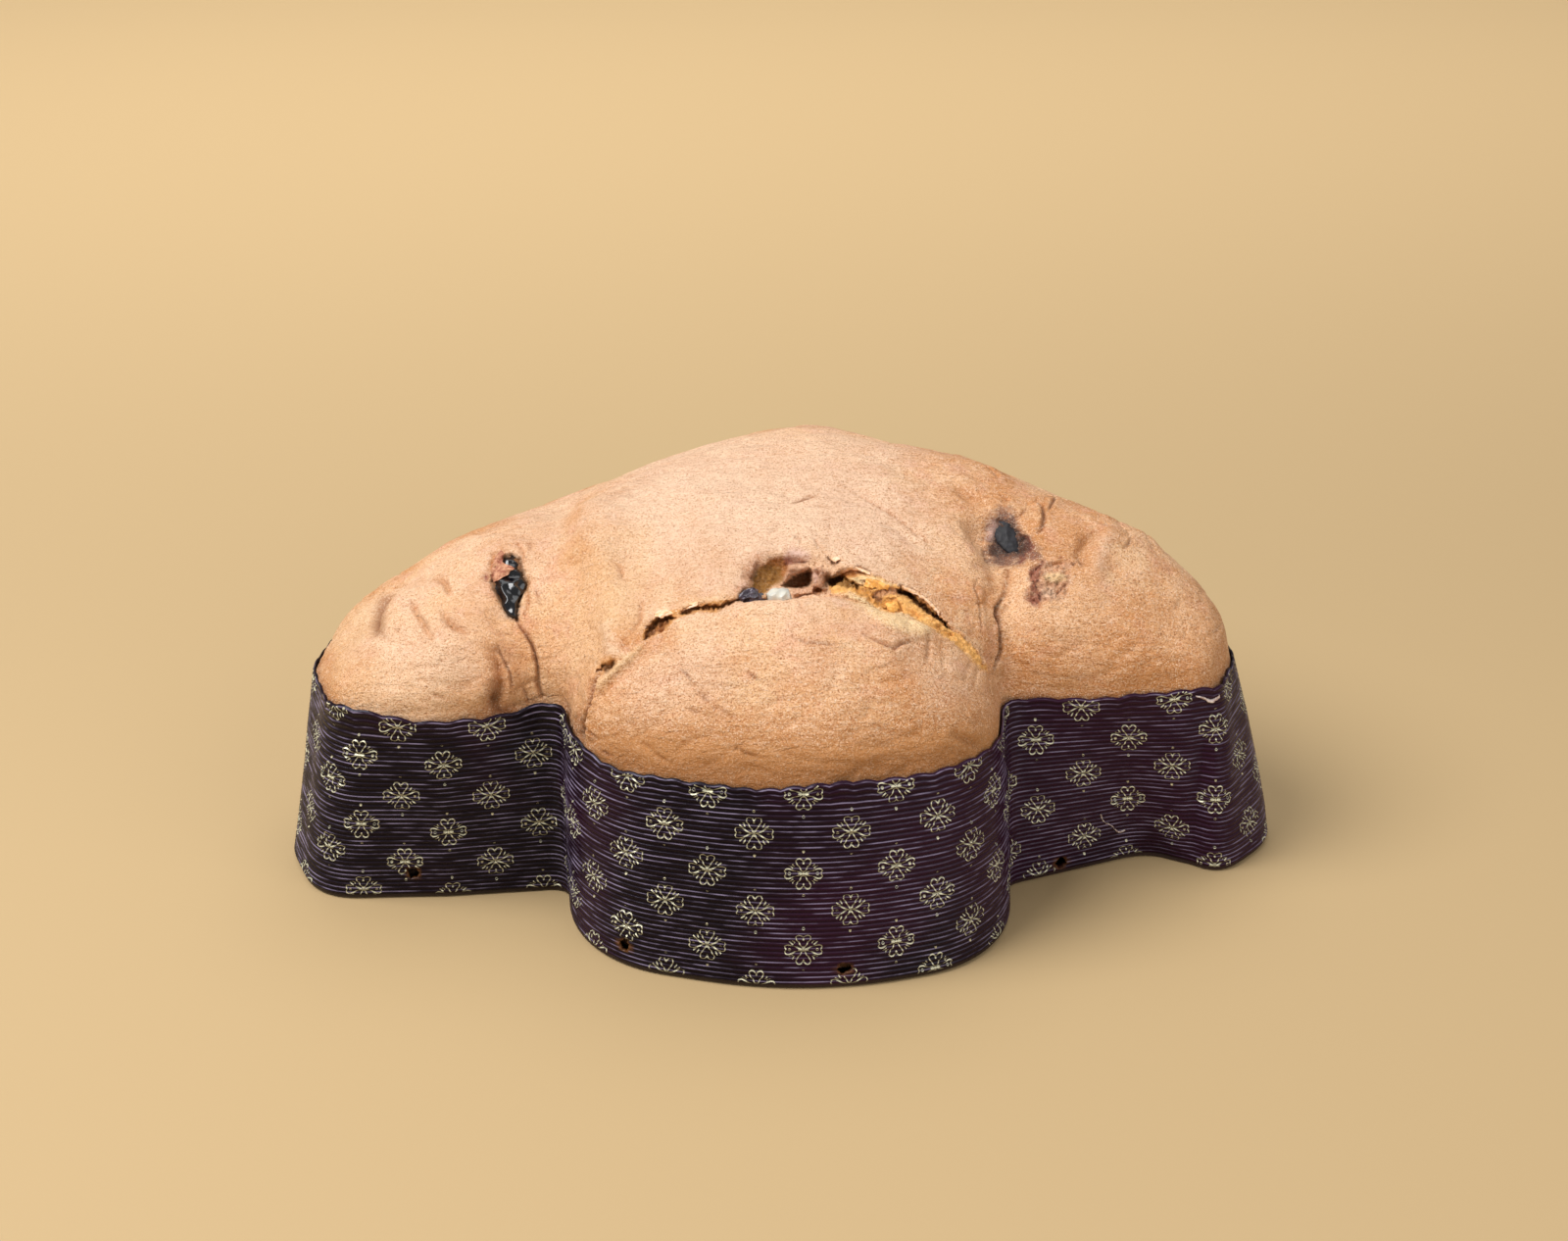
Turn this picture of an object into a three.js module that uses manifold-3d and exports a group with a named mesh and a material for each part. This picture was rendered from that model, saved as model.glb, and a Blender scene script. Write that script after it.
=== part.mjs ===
// A dove-shaped Easter cake (colomba) in its corrugated paper baking case.
// Millimetres, +Z up. X runs from wing tip to wing tip, and Y from the tail (-Y) to the head (+Y).
// The origin is the middle of the footprint, on the table.
import * as THREE from "three";
import { mergeVertices } from "three/addons/utils/BufferGeometryUtils.js";
import Module from "manifold-3d";

const wasm = await Module();
wasm.setup();

// ---------------------------------------------------------------- driving dimensions

const PAPER = 1.2; // thickness of the corrugated paper wall and floor
const GAP = 0.35; // clearance between pieces that touch
const RIM_HEIGHT = 65; // paper wall above the table
const FOOT_ROUND = 2.6; // radius of the fold between floor and wall
const WALL_BELLY = 0.8; // how far the wall bows out at half height
const RIM_WAVE = 0.9; // the paper edge rises and falls by this much
const WALL_LEVELS = [0.35, 0.7]; // heights of the wall's rings of points, as shares of the rim's
const ARC_STEP = 5; // spacing of wall stations round a bend
const STRAIGHT_STEP = 9; // and along a straight

const HOLE_RADIUS = 2; // where the hanging skewers pierced the paper
const HOLE_HEIGHT = 6.5;
const HOLE_SIDES = 8;
const HOLE_OVERCUT = 3; // how far the cutting tool stands out on both sides
const HOLES_IN_FRONT = [-113, -47, 18, 87]; // places along X, tail side
const HOLES_BEHIND = [-113, -30, 18, 87]; // and head side

const DOME_RISE = 44; // crumb above the rim at the middle of the body
const DOME_ROUNDNESS = 0.5; // lower starts more steeply at the rim, and 1 is a flat-sided mound
const DOME_RINGS = 22;
const DOME_STEP = 5.4; // spacing of the points along each ring
const FIRST_RING_INSET = 1.2;
const RING_CROWDING = 1.3; // above 1 the rings crowd towards the rim
const EDGE_DROP = 0.6; // the crust starts this far under the paper's edge
const CORNER_SMOOTHING = 50; // length either side that the middle of the dome averages over
const SMOOTHING_SAMPLES = 4; // on either side
const MEMBRANE_SWEEPS = 900;
const OVER_RELAXATION = 1.5; // speeds the membrane's settling

// The outline's corners, anticlockwise from above: [x, y, radius] where the wall meets the table,
// and the same corner at the rim. The wall leans in at the lobes' ends and out along the wings.
const CORNERS = [
  { foot: [-63.5, -91, 40], rim: [-61, -86, 38] }, // tail, left
  { foot: [6, -109, 110], rim: [5, -101, 115] }, // tail, middle of its end
  { foot: [67.5, -91, 38], rim: [63, -84, 35] }, // tail, right
  { foot: [69.5, -51, 5], rim: [65.5, -47, 5] }, // notch between tail and right wing
  { foot: [116, -31.5, 13], rim: [100, -47.5, 60] }, // hollow in the right wing's trailing edge
  { foot: [137, -45, 10], rim: [131.5, -43, 11] }, // right wing tip, trailing corner
  { foot: [159, -22, 18], rim: [144, -19, 18] }, // right wing tip
  { foot: [146, 3, 26], rim: [134, 3, 24] }, // right wing tip, leading corner
  { foot: [94, 55, 60], rim: [89, 50, 55] }, // right wing's leading edge
  { foot: [51, 64, 9], rim: [49, 61, 8] }, // notch between right wing and head
  { foot: [46, 99, 34], rim: [42, 93, 31] }, // head, right
  { foot: [0, 106.5, 110], rim: [0, 100.5, 110] }, // head, middle of its end
  { foot: [-46, 99, 34], rim: [-42, 93, 31] }, // head, left
  { foot: [-51, 64, 9], rim: [-49, 61, 8] }, // notch between head and left wing
  { foot: [-94, 55, 60], rim: [-91, 50, 55] }, // left wing's leading edge
  { foot: [-148, 2, 26], rim: [-139, 3, 24] }, // left wing tip, leading corner
  { foot: [-157, -30, 22], rim: [-146, -27, 20] }, // left wing tip
  { foot: [-145, -58, 17], rim: [-134, -58, 17] }, // left wing tip, trailing corner
  { foot: [-104, -56.5, 120], rim: [-104, -64, 60] }, // left wing's trailing edge
  { foot: [-66.5, -52.5, 5], rim: [-66.5, -50.5, 5] }, // notch between left wing and tail
];

// Where the dough rose more or less than an even membrane would:
// centre, reach along X and Y, and extra height.
const SWELLS = [
  { at: [20, 46], reach: [64, 42], rise: 13.5 }, // the body, behind the split
  { at: [62, 42], reach: [24, 30], rise: 4 }, // the body's right shoulder
  { at: [114, 9], reach: [50, 42], rise: 19 }, // the right wing
  { at: [-92, 4], reach: [44, 36], rise: 5 }, // the left wing
  { at: [-142, -24], reach: [34, 44], rise: -13 }, // the left wing's tip, which sank
  { at: [144, -20], reach: [22, 40], rise: -9 }, // the right wing's tip
  { at: [-116, -31.5], reach: [6, 8], rise: 3.5 }, // blister on the left wing
  { at: [78, -30], reach: [7, 7], rise: -3 }, // torn crater on the right wing
  { at: [93, -13], reach: [5, 9], rise: -3 }, // dent beside it
  { at: [57, 2], reach: [5, 5], rise: -2.5 }, // dent at the body's right shoulder
];

// Creases of the crust, or rolls where the depth is negative: a path over the dome, its width and depth.
const CREASES = [
  { path: [[-68, 14], [-73, -10], [-73, -36], [-70, -52]], width: 8, depth: 5 }, // body and left wing
  { path: [[-86, -38], [-80, -52]], width: 3.5, depth: 3 },
  { path: [[-60, 6], [-54, -32], [-47, -62]], width: 7, depth: -3 }, // the body's left roll
  { path: [[60, -10], [66, -28], [65, -44], [62, -54]], width: 4.5, depth: 8 }, // body and right wing
  { path: [[20, 0], [34, -13], [47, -25]], width: 4, depth: 1.6 }, // wrinkle over the body
  { path: [[86, 22], [104, 16], [116, 18]], width: 5, depth: 2 }, // fold near the right wing's edge
];

// The split between the tail and the body, from left to right along its lower lip,
// with how far it gapes and how deep it goes at each point.
const SPLIT = [
  { at: [-57, -77, 72], gape: 0.5, depth: 1.5 },
  { at: [-53, -70, 82], gape: 1.3, depth: 4 },
  { at: [-42, -62, 92], gape: 1.5, depth: 6 },
  { at: [-27, -56, 98.5], gape: 1.6, depth: 7 },
  { at: [-10, -53.5, 101.5], gape: 2, depth: 8 },
  { at: [10, -52, 102], gape: 2.2, depth: 8 },
  { at: [29, -52.5, 99.5], gape: 2.6, depth: 8 },
  { at: [43, -53, 95], gape: 2.2, depth: 7 },
  { at: [54, -54.5, 87], gape: 1.5, depth: 5 },
  { at: [61, -55, 76], gape: 0.5, depth: 2 },
];

// Lumps: centre, half sizes, and turns about X, Y and Z in degrees.
const CAVE = { at: [3, -41.5, 104], half: [16, 10.5, 7.5], turn: [24, 0, 0] }; // the split's open middle
const RAISIN_LEFT = { at: [-82, -31.5, 93.4], half: [5.2, 9.5, 4.6], turn: [18, -12, -12] };
const RAISIN_RIGHT = { at: [67.6, -14.5, 101.6], half: [5.6, 7.2, 4.6], turn: [22, 12, 20] };
const DRIED_FRUIT = { at: [-10.4, -49, 99.8], half: [3.4, 3, 3], turn: [0, 0, 15] };
const CANDIED_PEEL = { at: [-1, -48.4, 100], half: [4.8, 3.4, 3.4], turn: [0, 8, -10] };
const WRINKLE = 0.09; // how deep a raisin's folds are, as a share of its size
const LUMP_DETAIL = 3;
const BLADE_STEPS = 26;
const BLADE_TIP = 0.3; // its width at the bottom, as a share of that at the crust
const BLADE_STANDS_PROUD = 4; // how far the cut reaches out of the crust, to open it
const BLADE_POINT = 3; // length of its pointed ends

// ---------------------------------------------------------------- outlines

// Rounds a polygon's corners. counts, where given, repeats another outline's numbers of stations.
function roundedOutline(corners, counts) {
  const stations = [];
  const made = [];
  const bends = corners.map(([x, y, radius], i) => {
    const at = new THREE.Vector2(x, y);
    const before = new THREE.Vector2(...corners.at(i - 1));
    const after = new THREE.Vector2(...corners[(i + 1) % corners.length]);
    const into = at.clone().sub(before).normalize();
    const out = after.sub(at).normalize();
    const turn = Math.atan2(into.cross(out), into.dot(out));
    const reach = radius * Math.tan(Math.abs(turn) / 2);
    const start = at.clone().addScaledVector(into, -reach);
    const end = at.clone().addScaledVector(out, reach);
    const side = new THREE.Vector2(-into.y, into.x).multiplyScalar(radius * Math.sign(turn));
    return { turn, radius, start, end, centre: start.clone().add(side) };
  });
  bends.forEach((bend, i) => {
    const next = bends[(i + 1) % bends.length];
    const straight = bend.end.distanceTo(next.start);
    const arc = bend.radius * Math.abs(bend.turn);
    const arcSteps = counts?.[i][0] ?? Math.max(2, Math.round(arc / ARC_STEP));
    const straightSteps = counts?.[i][1] ?? Math.max(1, Math.round(straight / STRAIGHT_STEP));
    made.push([arcSteps, straightSteps]);
    for (let k = 0; k <= arcSteps; k++)
      stations.push(bend.start.clone().rotateAround(bend.centre, (bend.turn * k) / arcSteps));
    for (let k = 1; k < straightSteps; k++)
      stations.push(bend.end.clone().lerp(next.start, k / straightSteps));
  });
  return { stations, counts: made };
}

const foot = roundedOutline(CORNERS.map((c) => c.foot));
const rim = roundedOutline(CORNERS.map((c) => c.rim), foot.counts);
const COLUMNS = foot.stations.length;

// A point of the paper's outer face: share 0 is the foot and 1 the rim, moved in by inset.
function wallPoint(column, share, inset) {
  const at = (i) => foot.stations.at(i % COLUMNS).clone().lerp(rim.stations.at(i % COLUMNS), share);
  const along = at(column + 1).sub(at(column - 1)).normalize();
  const outward = WALL_BELLY * Math.sin(Math.PI * share) - inset;
  return at(column).add(new THREE.Vector2(along.y, -along.x).multiplyScalar(outward));
}

// The torn paper edge is a little higher in some places than in others.
function rimHeight(column) {
  const angle = (2 * Math.PI * column) / COLUMNS;
  return RIM_HEIGHT + RIM_WAVE * (Math.sin(7 * angle + 1) + 0.6 * Math.sin(17 * angle));
}

function wallRow(share, inset, drop = 0) {
  return foot.stations.map((_, column) => {
    const p = wallPoint(column, share, inset);
    return new THREE.Vector3(p.x, p.y, share * rimHeight(column) + drop);
  });
}

// ---------------------------------------------------------------- meshes from rings

// The triangles between two closed rings, which may have different numbers of points.
function band(ring, start, next, nextStart) {
  const faces = [];
  const climbs = next[0].z >= ring[0].z;
  let i = 0;
  let j = 0;
  while (i < ring.length || j < next.length) {
    const here = i % ring.length;
    const there = j % next.length;
    const ahead = (i + 1) % ring.length;
    const beyond = (j + 1) % next.length;
    // Rings that match get diagonals that all lean the same way as they climb, so that nested walls
    // have matching facets. Others get the shorter diagonal.
    let onThis = ring[ahead].distanceTo(next[there]) < ring[here].distanceTo(next[beyond]);
    if (ring.length === next.length) onThis = i < j || (i === j && climbs);
    if (i === ring.length || j === next.length) onThis = j === next.length;
    faces.push([start + here, onThis ? start + ahead : nextStart + beyond, nextStart + there]);
    if (onThis) i++;
    else j++;
  }
  // A ring of one point leaves a face with no width.
  return faces.filter((face) => new Set(face).size === 3);
}

function capFaces(ring, start) {
  const flat = ring.map((p) => new THREE.Vector2(p.x, p.y));
  return THREE.ShapeUtils.triangulateShape(flat, []).map((face) => face.map((k) => k + start));
}

// The triangles from the first ring to the last, with the last one filled.
function skinFaces(rings) {
  const faces = [];
  let start = 0;
  for (let r = 0; r + 1 < rings.length; r++) {
    faces.push(...band(rings[r], start, rings[r + 1], start + rings[r].length));
    start += rings[r].length;
  }
  return faces.concat(capFaces(rings.at(-1), start));
}

// A closed body: the skin over the rings, and a flat base on the first.
function closedBody(rings) {
  const base = capFaces(rings[0], 0).map(([a, b, c]) => [a, c, b]);
  const geometry = new THREE.BufferGeometry().setFromPoints(rings.flat());
  geometry.setIndex(skinFaces(rings).concat(base).flat());
  return geometry;
}

// The geometry with nothing but its positions.
function bare(geometry) {
  const plain = new THREE.BufferGeometry().setAttribute("position", geometry.getAttribute("position"));
  return plain.setIndex(geometry.index);
}

function solid(geometry) {
  const merged = mergeVertices(bare(geometry), 1e-4);
  return new wasm.Manifold(
    new wasm.Mesh({
      numProp: 3,
      vertProperties: new Float32Array(merged.attributes.position.array),
      triVerts: new Uint32Array(merged.index.array),
    }),
  );
}

function geometryOf(manifold) {
  const mesh = manifold.getMesh();
  const geometry = new THREE.BufferGeometry();
  geometry.setAttribute("position", new THREE.BufferAttribute(mesh.vertProperties, 3));
  geometry.setIndex(new THREE.BufferAttribute(mesh.triVerts, 1));
  return geometry;
}

// ---------------------------------------------------------------- lumps and tools for cutting

// A ball with folds, squashed to its half sizes. spread makes it larger all round.
function lump({ at, half, turn }, folds, spread = 0) {
  const ball = mergeVertices(bare(new THREE.IcosahedronGeometry(1, LUMP_DETAIL)), 1e-4);
  const points = ball.getAttribute("position");
  const p = new THREE.Vector3();
  for (let i = 0; i < points.count; i++) {
    p.fromBufferAttribute(points, i);
    const broad = Math.sin(7 * p.x + 3 * p.z) * Math.cos(5 * p.y - 2 * p.z);
    const narrow = Math.sin(9 * p.z + 4 * p.y);
    p.multiplyScalar(1 + folds * (broad + 0.6 * narrow));
    points.setXYZ(i, p.x, p.y, p.z);
  }
  ball.scale(...half.map((h) => h + spread));
  const radians = turn.map(THREE.MathUtils.degToRad);
  ball.applyMatrix4(new THREE.Matrix4().makeRotationFromEuler(new THREE.Euler(...radians)));
  return ball.translate(...at);
}

// The room that the split takes out of the cake: a blade that follows it, pointed at both ends.
function splitBlade() {
  const path = new THREE.CatmullRomCurve3(SPLIT.map(({ at }) => new THREE.Vector3(...at)));
  const uphill = new THREE.Vector3(0, 0.8, 0.6); // across the split, from the tail to the body
  const reading = (key, t) => {
    const u = t * (SPLIT.length - 1);
    const i = Math.min(Math.floor(u), SPLIT.length - 2);
    return THREE.MathUtils.lerp(SPLIT[i][key], SPLIT[i + 1][key], u - i);
  };
  const rings = [];
  for (let k = 0; k <= BLADE_STEPS; k++) {
    const t = k / BLADE_STEPS;
    const p = path.getPoint(t);
    const outward = path.getTangent(t).cross(uphill).normalize();
    const off = (along, across) => p.clone().addScaledVector(outward, along).addScaledVector(uphill, across);
    const [gape, depth] = [reading("gape", t), reading("depth", t)];
    const tip = gape * BLADE_TIP;
    const mouth = [off(BLADE_STANDS_PROUD, gape), off(BLADE_STANDS_PROUD, -gape)];
    rings.push([...mouth, off(-depth, -tip), off(-depth, tip)]);
  }
  rings.unshift([path.getPoint(0).addScaledVector(path.getTangent(0), -BLADE_POINT)]);
  rings.push([path.getPoint(1).addScaledVector(path.getTangent(1), BLADE_POINT)]);
  const geometry = new THREE.BufferGeometry().setFromPoints(rings.flat());
  geometry.setIndex(skinFaces(rings).flat());
  return geometry;
}

// The column of the wall nearest to x, on the tail side (side -1) or the head side (side 1).
function columnAt(x, side) {
  const distance = (p) => (Math.sign(p.y) === side ? Math.abs(p.x - x) : Infinity);
  return foot.stations.reduce((best, p, i) => (distance(p) < distance(foot.stations[best]) ? i : best), 0);
}

function skewerHole(x, side) {
  const column = columnAt(x, side);
  const share = HOLE_HEIGHT / RIM_HEIGHT;
  const outside = wallPoint(column, share, -HOLE_OVERCUT);
  const inside = wallPoint(column, share, PAPER + HOLE_OVERCUT);
  const across = outside.clone().sub(inside);
  const hole = new THREE.CylinderGeometry(HOLE_RADIUS, HOLE_RADIUS, across.length(), HOLE_SIDES);
  hole.rotateZ(Math.PI / 2);
  hole.rotateZ(across.angle());
  const middle = outside.add(inside).multiplyScalar(0.5);
  return hole.translate(middle.x, middle.y, HOLE_HEIGHT);
}

// ---------------------------------------------------------------- paper case

function paperCase() {
  const level = (row, z) => row.map((p) => new THREE.Vector3(p.x, p.y, z));
  const foldShare = FOOT_ROUND / RIM_HEIGHT;
  const tray = closedBody([
    level(wallRow(0, FOOT_ROUND), 0),
    level(wallRow(0, FOOT_ROUND * 0.3), FOOT_ROUND * 0.3),
    level(wallRow(foldShare, 0), FOOT_ROUND),
    ...WALL_LEVELS.map((share) => wallRow(share, 0)),
    wallRow(1, 0),
    wallRow(1, PAPER),
    ...WALL_LEVELS.toReversed().map((share) => wallRow(share, PAPER)),
    level(wallRow(foldShare, PAPER), PAPER + FOOT_ROUND),
    level(wallRow(0, PAPER + FOOT_ROUND), PAPER),
  ]);
  const front = HOLES_IN_FRONT.map((x) => skewerHole(x, -1));
  const holes = front.concat(HOLES_BEHIND.map((x) => skewerHole(x, 1)));
  return geometryOf(holes.reduce((paper, hole) => paper.subtract(solid(hole)), solid(tray)));
}

// ---------------------------------------------------------------- cake

// A membrane pinned at the first ring and pushed up evenly: the shape that rising dough takes.
// Returns each point's height as a share of the highest.
function puffedMembrane(rings) {
  const points = rings.flat();
  const weights = points.map(() => new Map());
  const loads = points.map(() => 0);
  const edge = new THREE.Vector2();
  const other = new THREE.Vector2();
  for (const face of skinFaces(rings))
    for (let k = 0; k < 3; k++) {
      const [a, b, c] = [face[k], face[(k + 1) % 3], face[(k + 2) % 3]];
      edge.subVectors(points[a], points[c]);
      other.subVectors(points[b], points[c]);
      const twiceArea = Math.abs(edge.cross(other));
      const weight = edge.dot(other) / twiceArea / 2;
      weights[a].set(b, (weights[a].get(b) ?? 0) + weight);
      weights[b].set(a, (weights[b].get(a) ?? 0) + weight);
      loads[c] += twiceArea / 6;
    }
  const heights = points.map(() => 0);
  for (let sweep = 0; sweep < MEMBRANE_SWEEPS; sweep++)
    for (let i = rings[0].length; i < points.length; i++) {
      let sum = loads[i];
      let total = 0;
      for (const [j, weight] of weights[i]) {
        sum += weight * heights[j];
        total += weight;
      }
      heights[i] += OVER_RELAXATION * (sum / total - heights[i]);
    }
  const highest = Math.max(...heights);
  return heights.map((h) => Math.max(0, h) / highest);
}

// Rings from the rim to the middle. They lose the outline's corners on the way.
function domeRings() {
  const edge = wallRow(1, PAPER + GAP, -EDGE_DROP);
  const outline = new THREE.CatmullRomCurve3(edge, true, "chordal");
  outline.arcLengthDivisions = 4 * COLUMNS;
  const length = outline.getLength();
  const rings = [edge, wallRow(1, PAPER + GAP + FIRST_RING_INSET, -EDGE_DROP)];
  for (let k = 2; k < DOME_RINGS; k++) {
    const share = 1 - (k / DOME_RINGS) ** RING_CROWDING;
    const reach = ((1 - share) * CORNER_SMOOTHING) / length;
    const count = Math.max(10, Math.round((length * share) / DOME_STEP));
    const ring = [];
    for (let j = 0; j < count; j++) {
      const mean = new THREE.Vector3();
      for (let t = -SMOOTHING_SAMPLES; t <= SMOOTHING_SAMPLES; t++)
        mean.add(outline.getPointAt((1 + j / count + (t / SMOOTHING_SAMPLES) * reach) % 1));
      mean.divideScalar(2 * SMOOTHING_SAMPLES + 1);
      ring.push(new THREE.Vector3(mean.x * share, mean.y * share, mean.z));
    }
    rings.push(ring);
  }
  return rings;
}

// How far the point lies from a path over the dome.
function distanceTo(path, p) {
  let nearest = Infinity;
  for (let i = 0; i + 1 < path.length; i++) {
    const from = new THREE.Vector2(...path[i]);
    const span = new THREE.Vector2(...path[i + 1]).sub(from);
    const along = new THREE.Vector2(p.x, p.y).sub(from);
    const t = THREE.MathUtils.clamp(along.dot(span) / span.lengthSq(), 0, 1);
    nearest = Math.min(nearest, along.addScaledVector(span, -t).length());
  }
  return nearest;
}

function domeHeight(p, puffed) {
  let rise = DOME_RISE;
  for (const { at, reach, rise: extra } of SWELLS)
    rise += extra * Math.exp(-(((p.x - at[0]) / reach[0]) ** 2) - ((p.y - at[1]) / reach[1]) ** 2);
  for (const { path, width, depth } of CREASES)
    rise -= depth * Math.exp(-((distanceTo(path, p) / width) ** 2));
  return rise * puffed ** DOME_ROUNDNESS;
}

function cake() {
  const inset = PAPER + GAP;
  const dome = domeRings();
  const puffed = puffedMembrane(dome);
  dome.flat().forEach((p, i) => {
    p.z += domeHeight(p, puffed[i]);
  });
  const low = wallRow(0, inset + FOOT_ROUND).map((p) => new THREE.Vector3(p.x, p.y, inset));
  const crumb = closedBody([
    low,
    wallRow(FOOT_ROUND / RIM_HEIGHT, inset, PAPER + GAP),
    ...WALL_LEVELS.map((share) => wallRow(share, inset)),
    ...dome,
  ]);
  const hollows = [
    splitBlade(),
    lump(CAVE, 0.05),
    lump(RAISIN_LEFT, WRINKLE, GAP),
    lump(RAISIN_RIGHT, WRINKLE, GAP),
    lump(DRIED_FRUIT, 0, GAP),
    lump(CANDIED_PEEL, 0, GAP),
  ];
  return geometryOf(hollows.reduce((rest, hollow) => rest.subtract(solid(hollow)), solid(crumb)));
}

// ---------------------------------------------------------------- the object

const MATERIALS = {
  paper: new THREE.MeshStandardMaterial({ color: 0x2b1622, roughness: 0.45, metalness: 0 }),
  crust: new THREE.MeshStandardMaterial({ color: 0xd9a066, roughness: 0.75, metalness: 0 }),
  raisin: new THREE.MeshStandardMaterial({ color: 0x120e12, roughness: 0.25, metalness: 0 }),
  fruit: new THREE.MeshStandardMaterial({ color: 0x5a2a3c, roughness: 0.4, metalness: 0 }),
  peel: new THREE.MeshStandardMaterial({ color: 0xe6dccb, roughness: 0.4, metalness: 0 }),
};

function named(name, geometry, material) {
  geometry.computeVertexNormals();
  const mesh = new THREE.Mesh(geometry, material);
  mesh.name = name;
  return mesh;
}

const colomba = new THREE.Group();
colomba.add(named("paper_case", paperCase(), MATERIALS.paper));
colomba.add(named("cake", cake(), MATERIALS.crust));
colomba.add(named("raisin_left", lump(RAISIN_LEFT, WRINKLE), MATERIALS.raisin));
colomba.add(named("raisin_right", lump(RAISIN_RIGHT, WRINKLE), MATERIALS.raisin));
colomba.add(named("dried_fruit", lump(DRIED_FRUIT, 0), MATERIALS.fruit));
colomba.add(named("candied_peel", lump(CANDIED_PEEL, 0), MATERIALS.peel));

// The modelled footprint is centred to within a millimetre, and this makes it exact.
const middle = new THREE.Box3().setFromObject(colomba).getCenter(new THREE.Vector3());
colomba.position.set(-middle.x, -middle.y, 0);

export default colomba;
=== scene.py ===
"""A dove-shaped Easter cake (colomba) in its corrugated, printed paper case."""

import math

import bmesh
import bpy
import numpy as np
from bpy.props import FloatProperty, FloatVectorProperty, IntProperty, PointerProperty
from mathutils import Matrix, Vector, noise
from mathutils.bvhtree import BVHTree


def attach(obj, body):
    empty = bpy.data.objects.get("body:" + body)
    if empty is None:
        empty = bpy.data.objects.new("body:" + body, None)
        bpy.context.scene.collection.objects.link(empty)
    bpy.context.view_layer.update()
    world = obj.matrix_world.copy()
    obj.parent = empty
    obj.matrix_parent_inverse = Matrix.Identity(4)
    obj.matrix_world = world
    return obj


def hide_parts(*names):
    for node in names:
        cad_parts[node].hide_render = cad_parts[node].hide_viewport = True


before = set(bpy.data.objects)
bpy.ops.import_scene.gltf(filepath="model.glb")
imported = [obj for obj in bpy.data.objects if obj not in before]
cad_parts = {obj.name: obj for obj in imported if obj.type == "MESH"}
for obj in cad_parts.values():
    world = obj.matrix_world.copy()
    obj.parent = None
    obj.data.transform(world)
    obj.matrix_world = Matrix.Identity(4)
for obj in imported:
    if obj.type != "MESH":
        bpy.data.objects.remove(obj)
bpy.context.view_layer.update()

bl_info = {
    "name": "Colomba Cake",
    "version": (1, 0, 0),
    "blender": (4, 5, 0),
    "location": "View3D > Sidebar > Colomba",
    "description": "Builds a dove-shaped Easter cake in its corrugated, printed paper case",
    "category": "Add Mesh",
}

MM = 0.001

# ---------------------------------------------------------------- the photograph's camera

PICTURE_WIDTH = 1600
PICTURE_HEIGHT = 1266
AIM = Vector((0.0002, -0.027, 0.050))  # what the lens's axis points at
AIM_PIXEL = (800, 723)  # and where that shows in the photograph
DISTANCE = 0.8
ELEVATION = math.radians(30)
FOCAL_PIXELS = 2642
SENSOR = 36.0

BACKWARD = Vector((0, -math.cos(ELEVATION), math.sin(ELEVATION)))
RIGHTWARD = Vector((1, 0, 0))
UPWARD = BACKWARD.cross(RIGHTWARD)
EYE = AIM + DISTANCE * BACKWARD


def sight_line(u, v):
    """The direction from the camera through a pixel of the photograph."""
    across = (u - AIM_PIXEL[0]) / FOCAL_PIXELS
    down = (v - AIM_PIXEL[1]) / FOCAL_PIXELS
    return (RIGHTWARD * across - UPWARD * down - BACKWARD).normalized()


def pixels_of(points):
    """Where points (an array, in metres) show in the photograph."""
    offset = points - np.array(EYE)
    depth = -offset @ np.array(BACKWARD)
    u = AIM_PIXEL[0] + FOCAL_PIXELS * (offset @ np.array(RIGHTWARD)) / depth
    v = AIM_PIXEL[1] - FOCAL_PIXELS * (offset @ np.array(UPWARD)) / depth
    return u, v


def tree_of(obj):
    """An object's surface, ready for rays."""
    return BVHTree.FromObject(obj, bpy.context.evaluated_depsgraph_get())


def depth_at(surface, *pixels):
    """How far a surface is from the lens, in metres, on average over some pixels of the photograph."""
    return sum(surface.ray_cast(EYE, sight_line(*pixel))[3] for pixel in pixels) / len(pixels)


CRUST_TREE = tree_of(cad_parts["cake"])
CASE_TREE = tree_of(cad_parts["paper_case"])
SKYLINE_REACH = 16  # how many pixels below a spot just off the crust are tried


def on_crust(u, v):
    """The point of the crust, in metres, that shows at a pixel, or just below it at the skyline."""
    for lower in range(SKYLINE_REACH):
        hit = CRUST_TREE.ray_cast(EYE, sight_line(u, v + lower))[0]
        if hit is not None:
            return hit
    raise ValueError(f"no crust at pixel {u}, {v}")


# ---------------------------------------------------------------- settings


def colour(name, description, default):
    return FloatVectorProperty(
        name=name, description=description, default=default, subtype="COLOR", min=0, max=1
    )


def length(name, description, default):
    return FloatProperty(name=name, description=description, default=default, min=0, unit="LENGTH")


def power(name, default):
    return FloatProperty(name=name, description="Power of the lamp, in watts", default=default, min=0)


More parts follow.
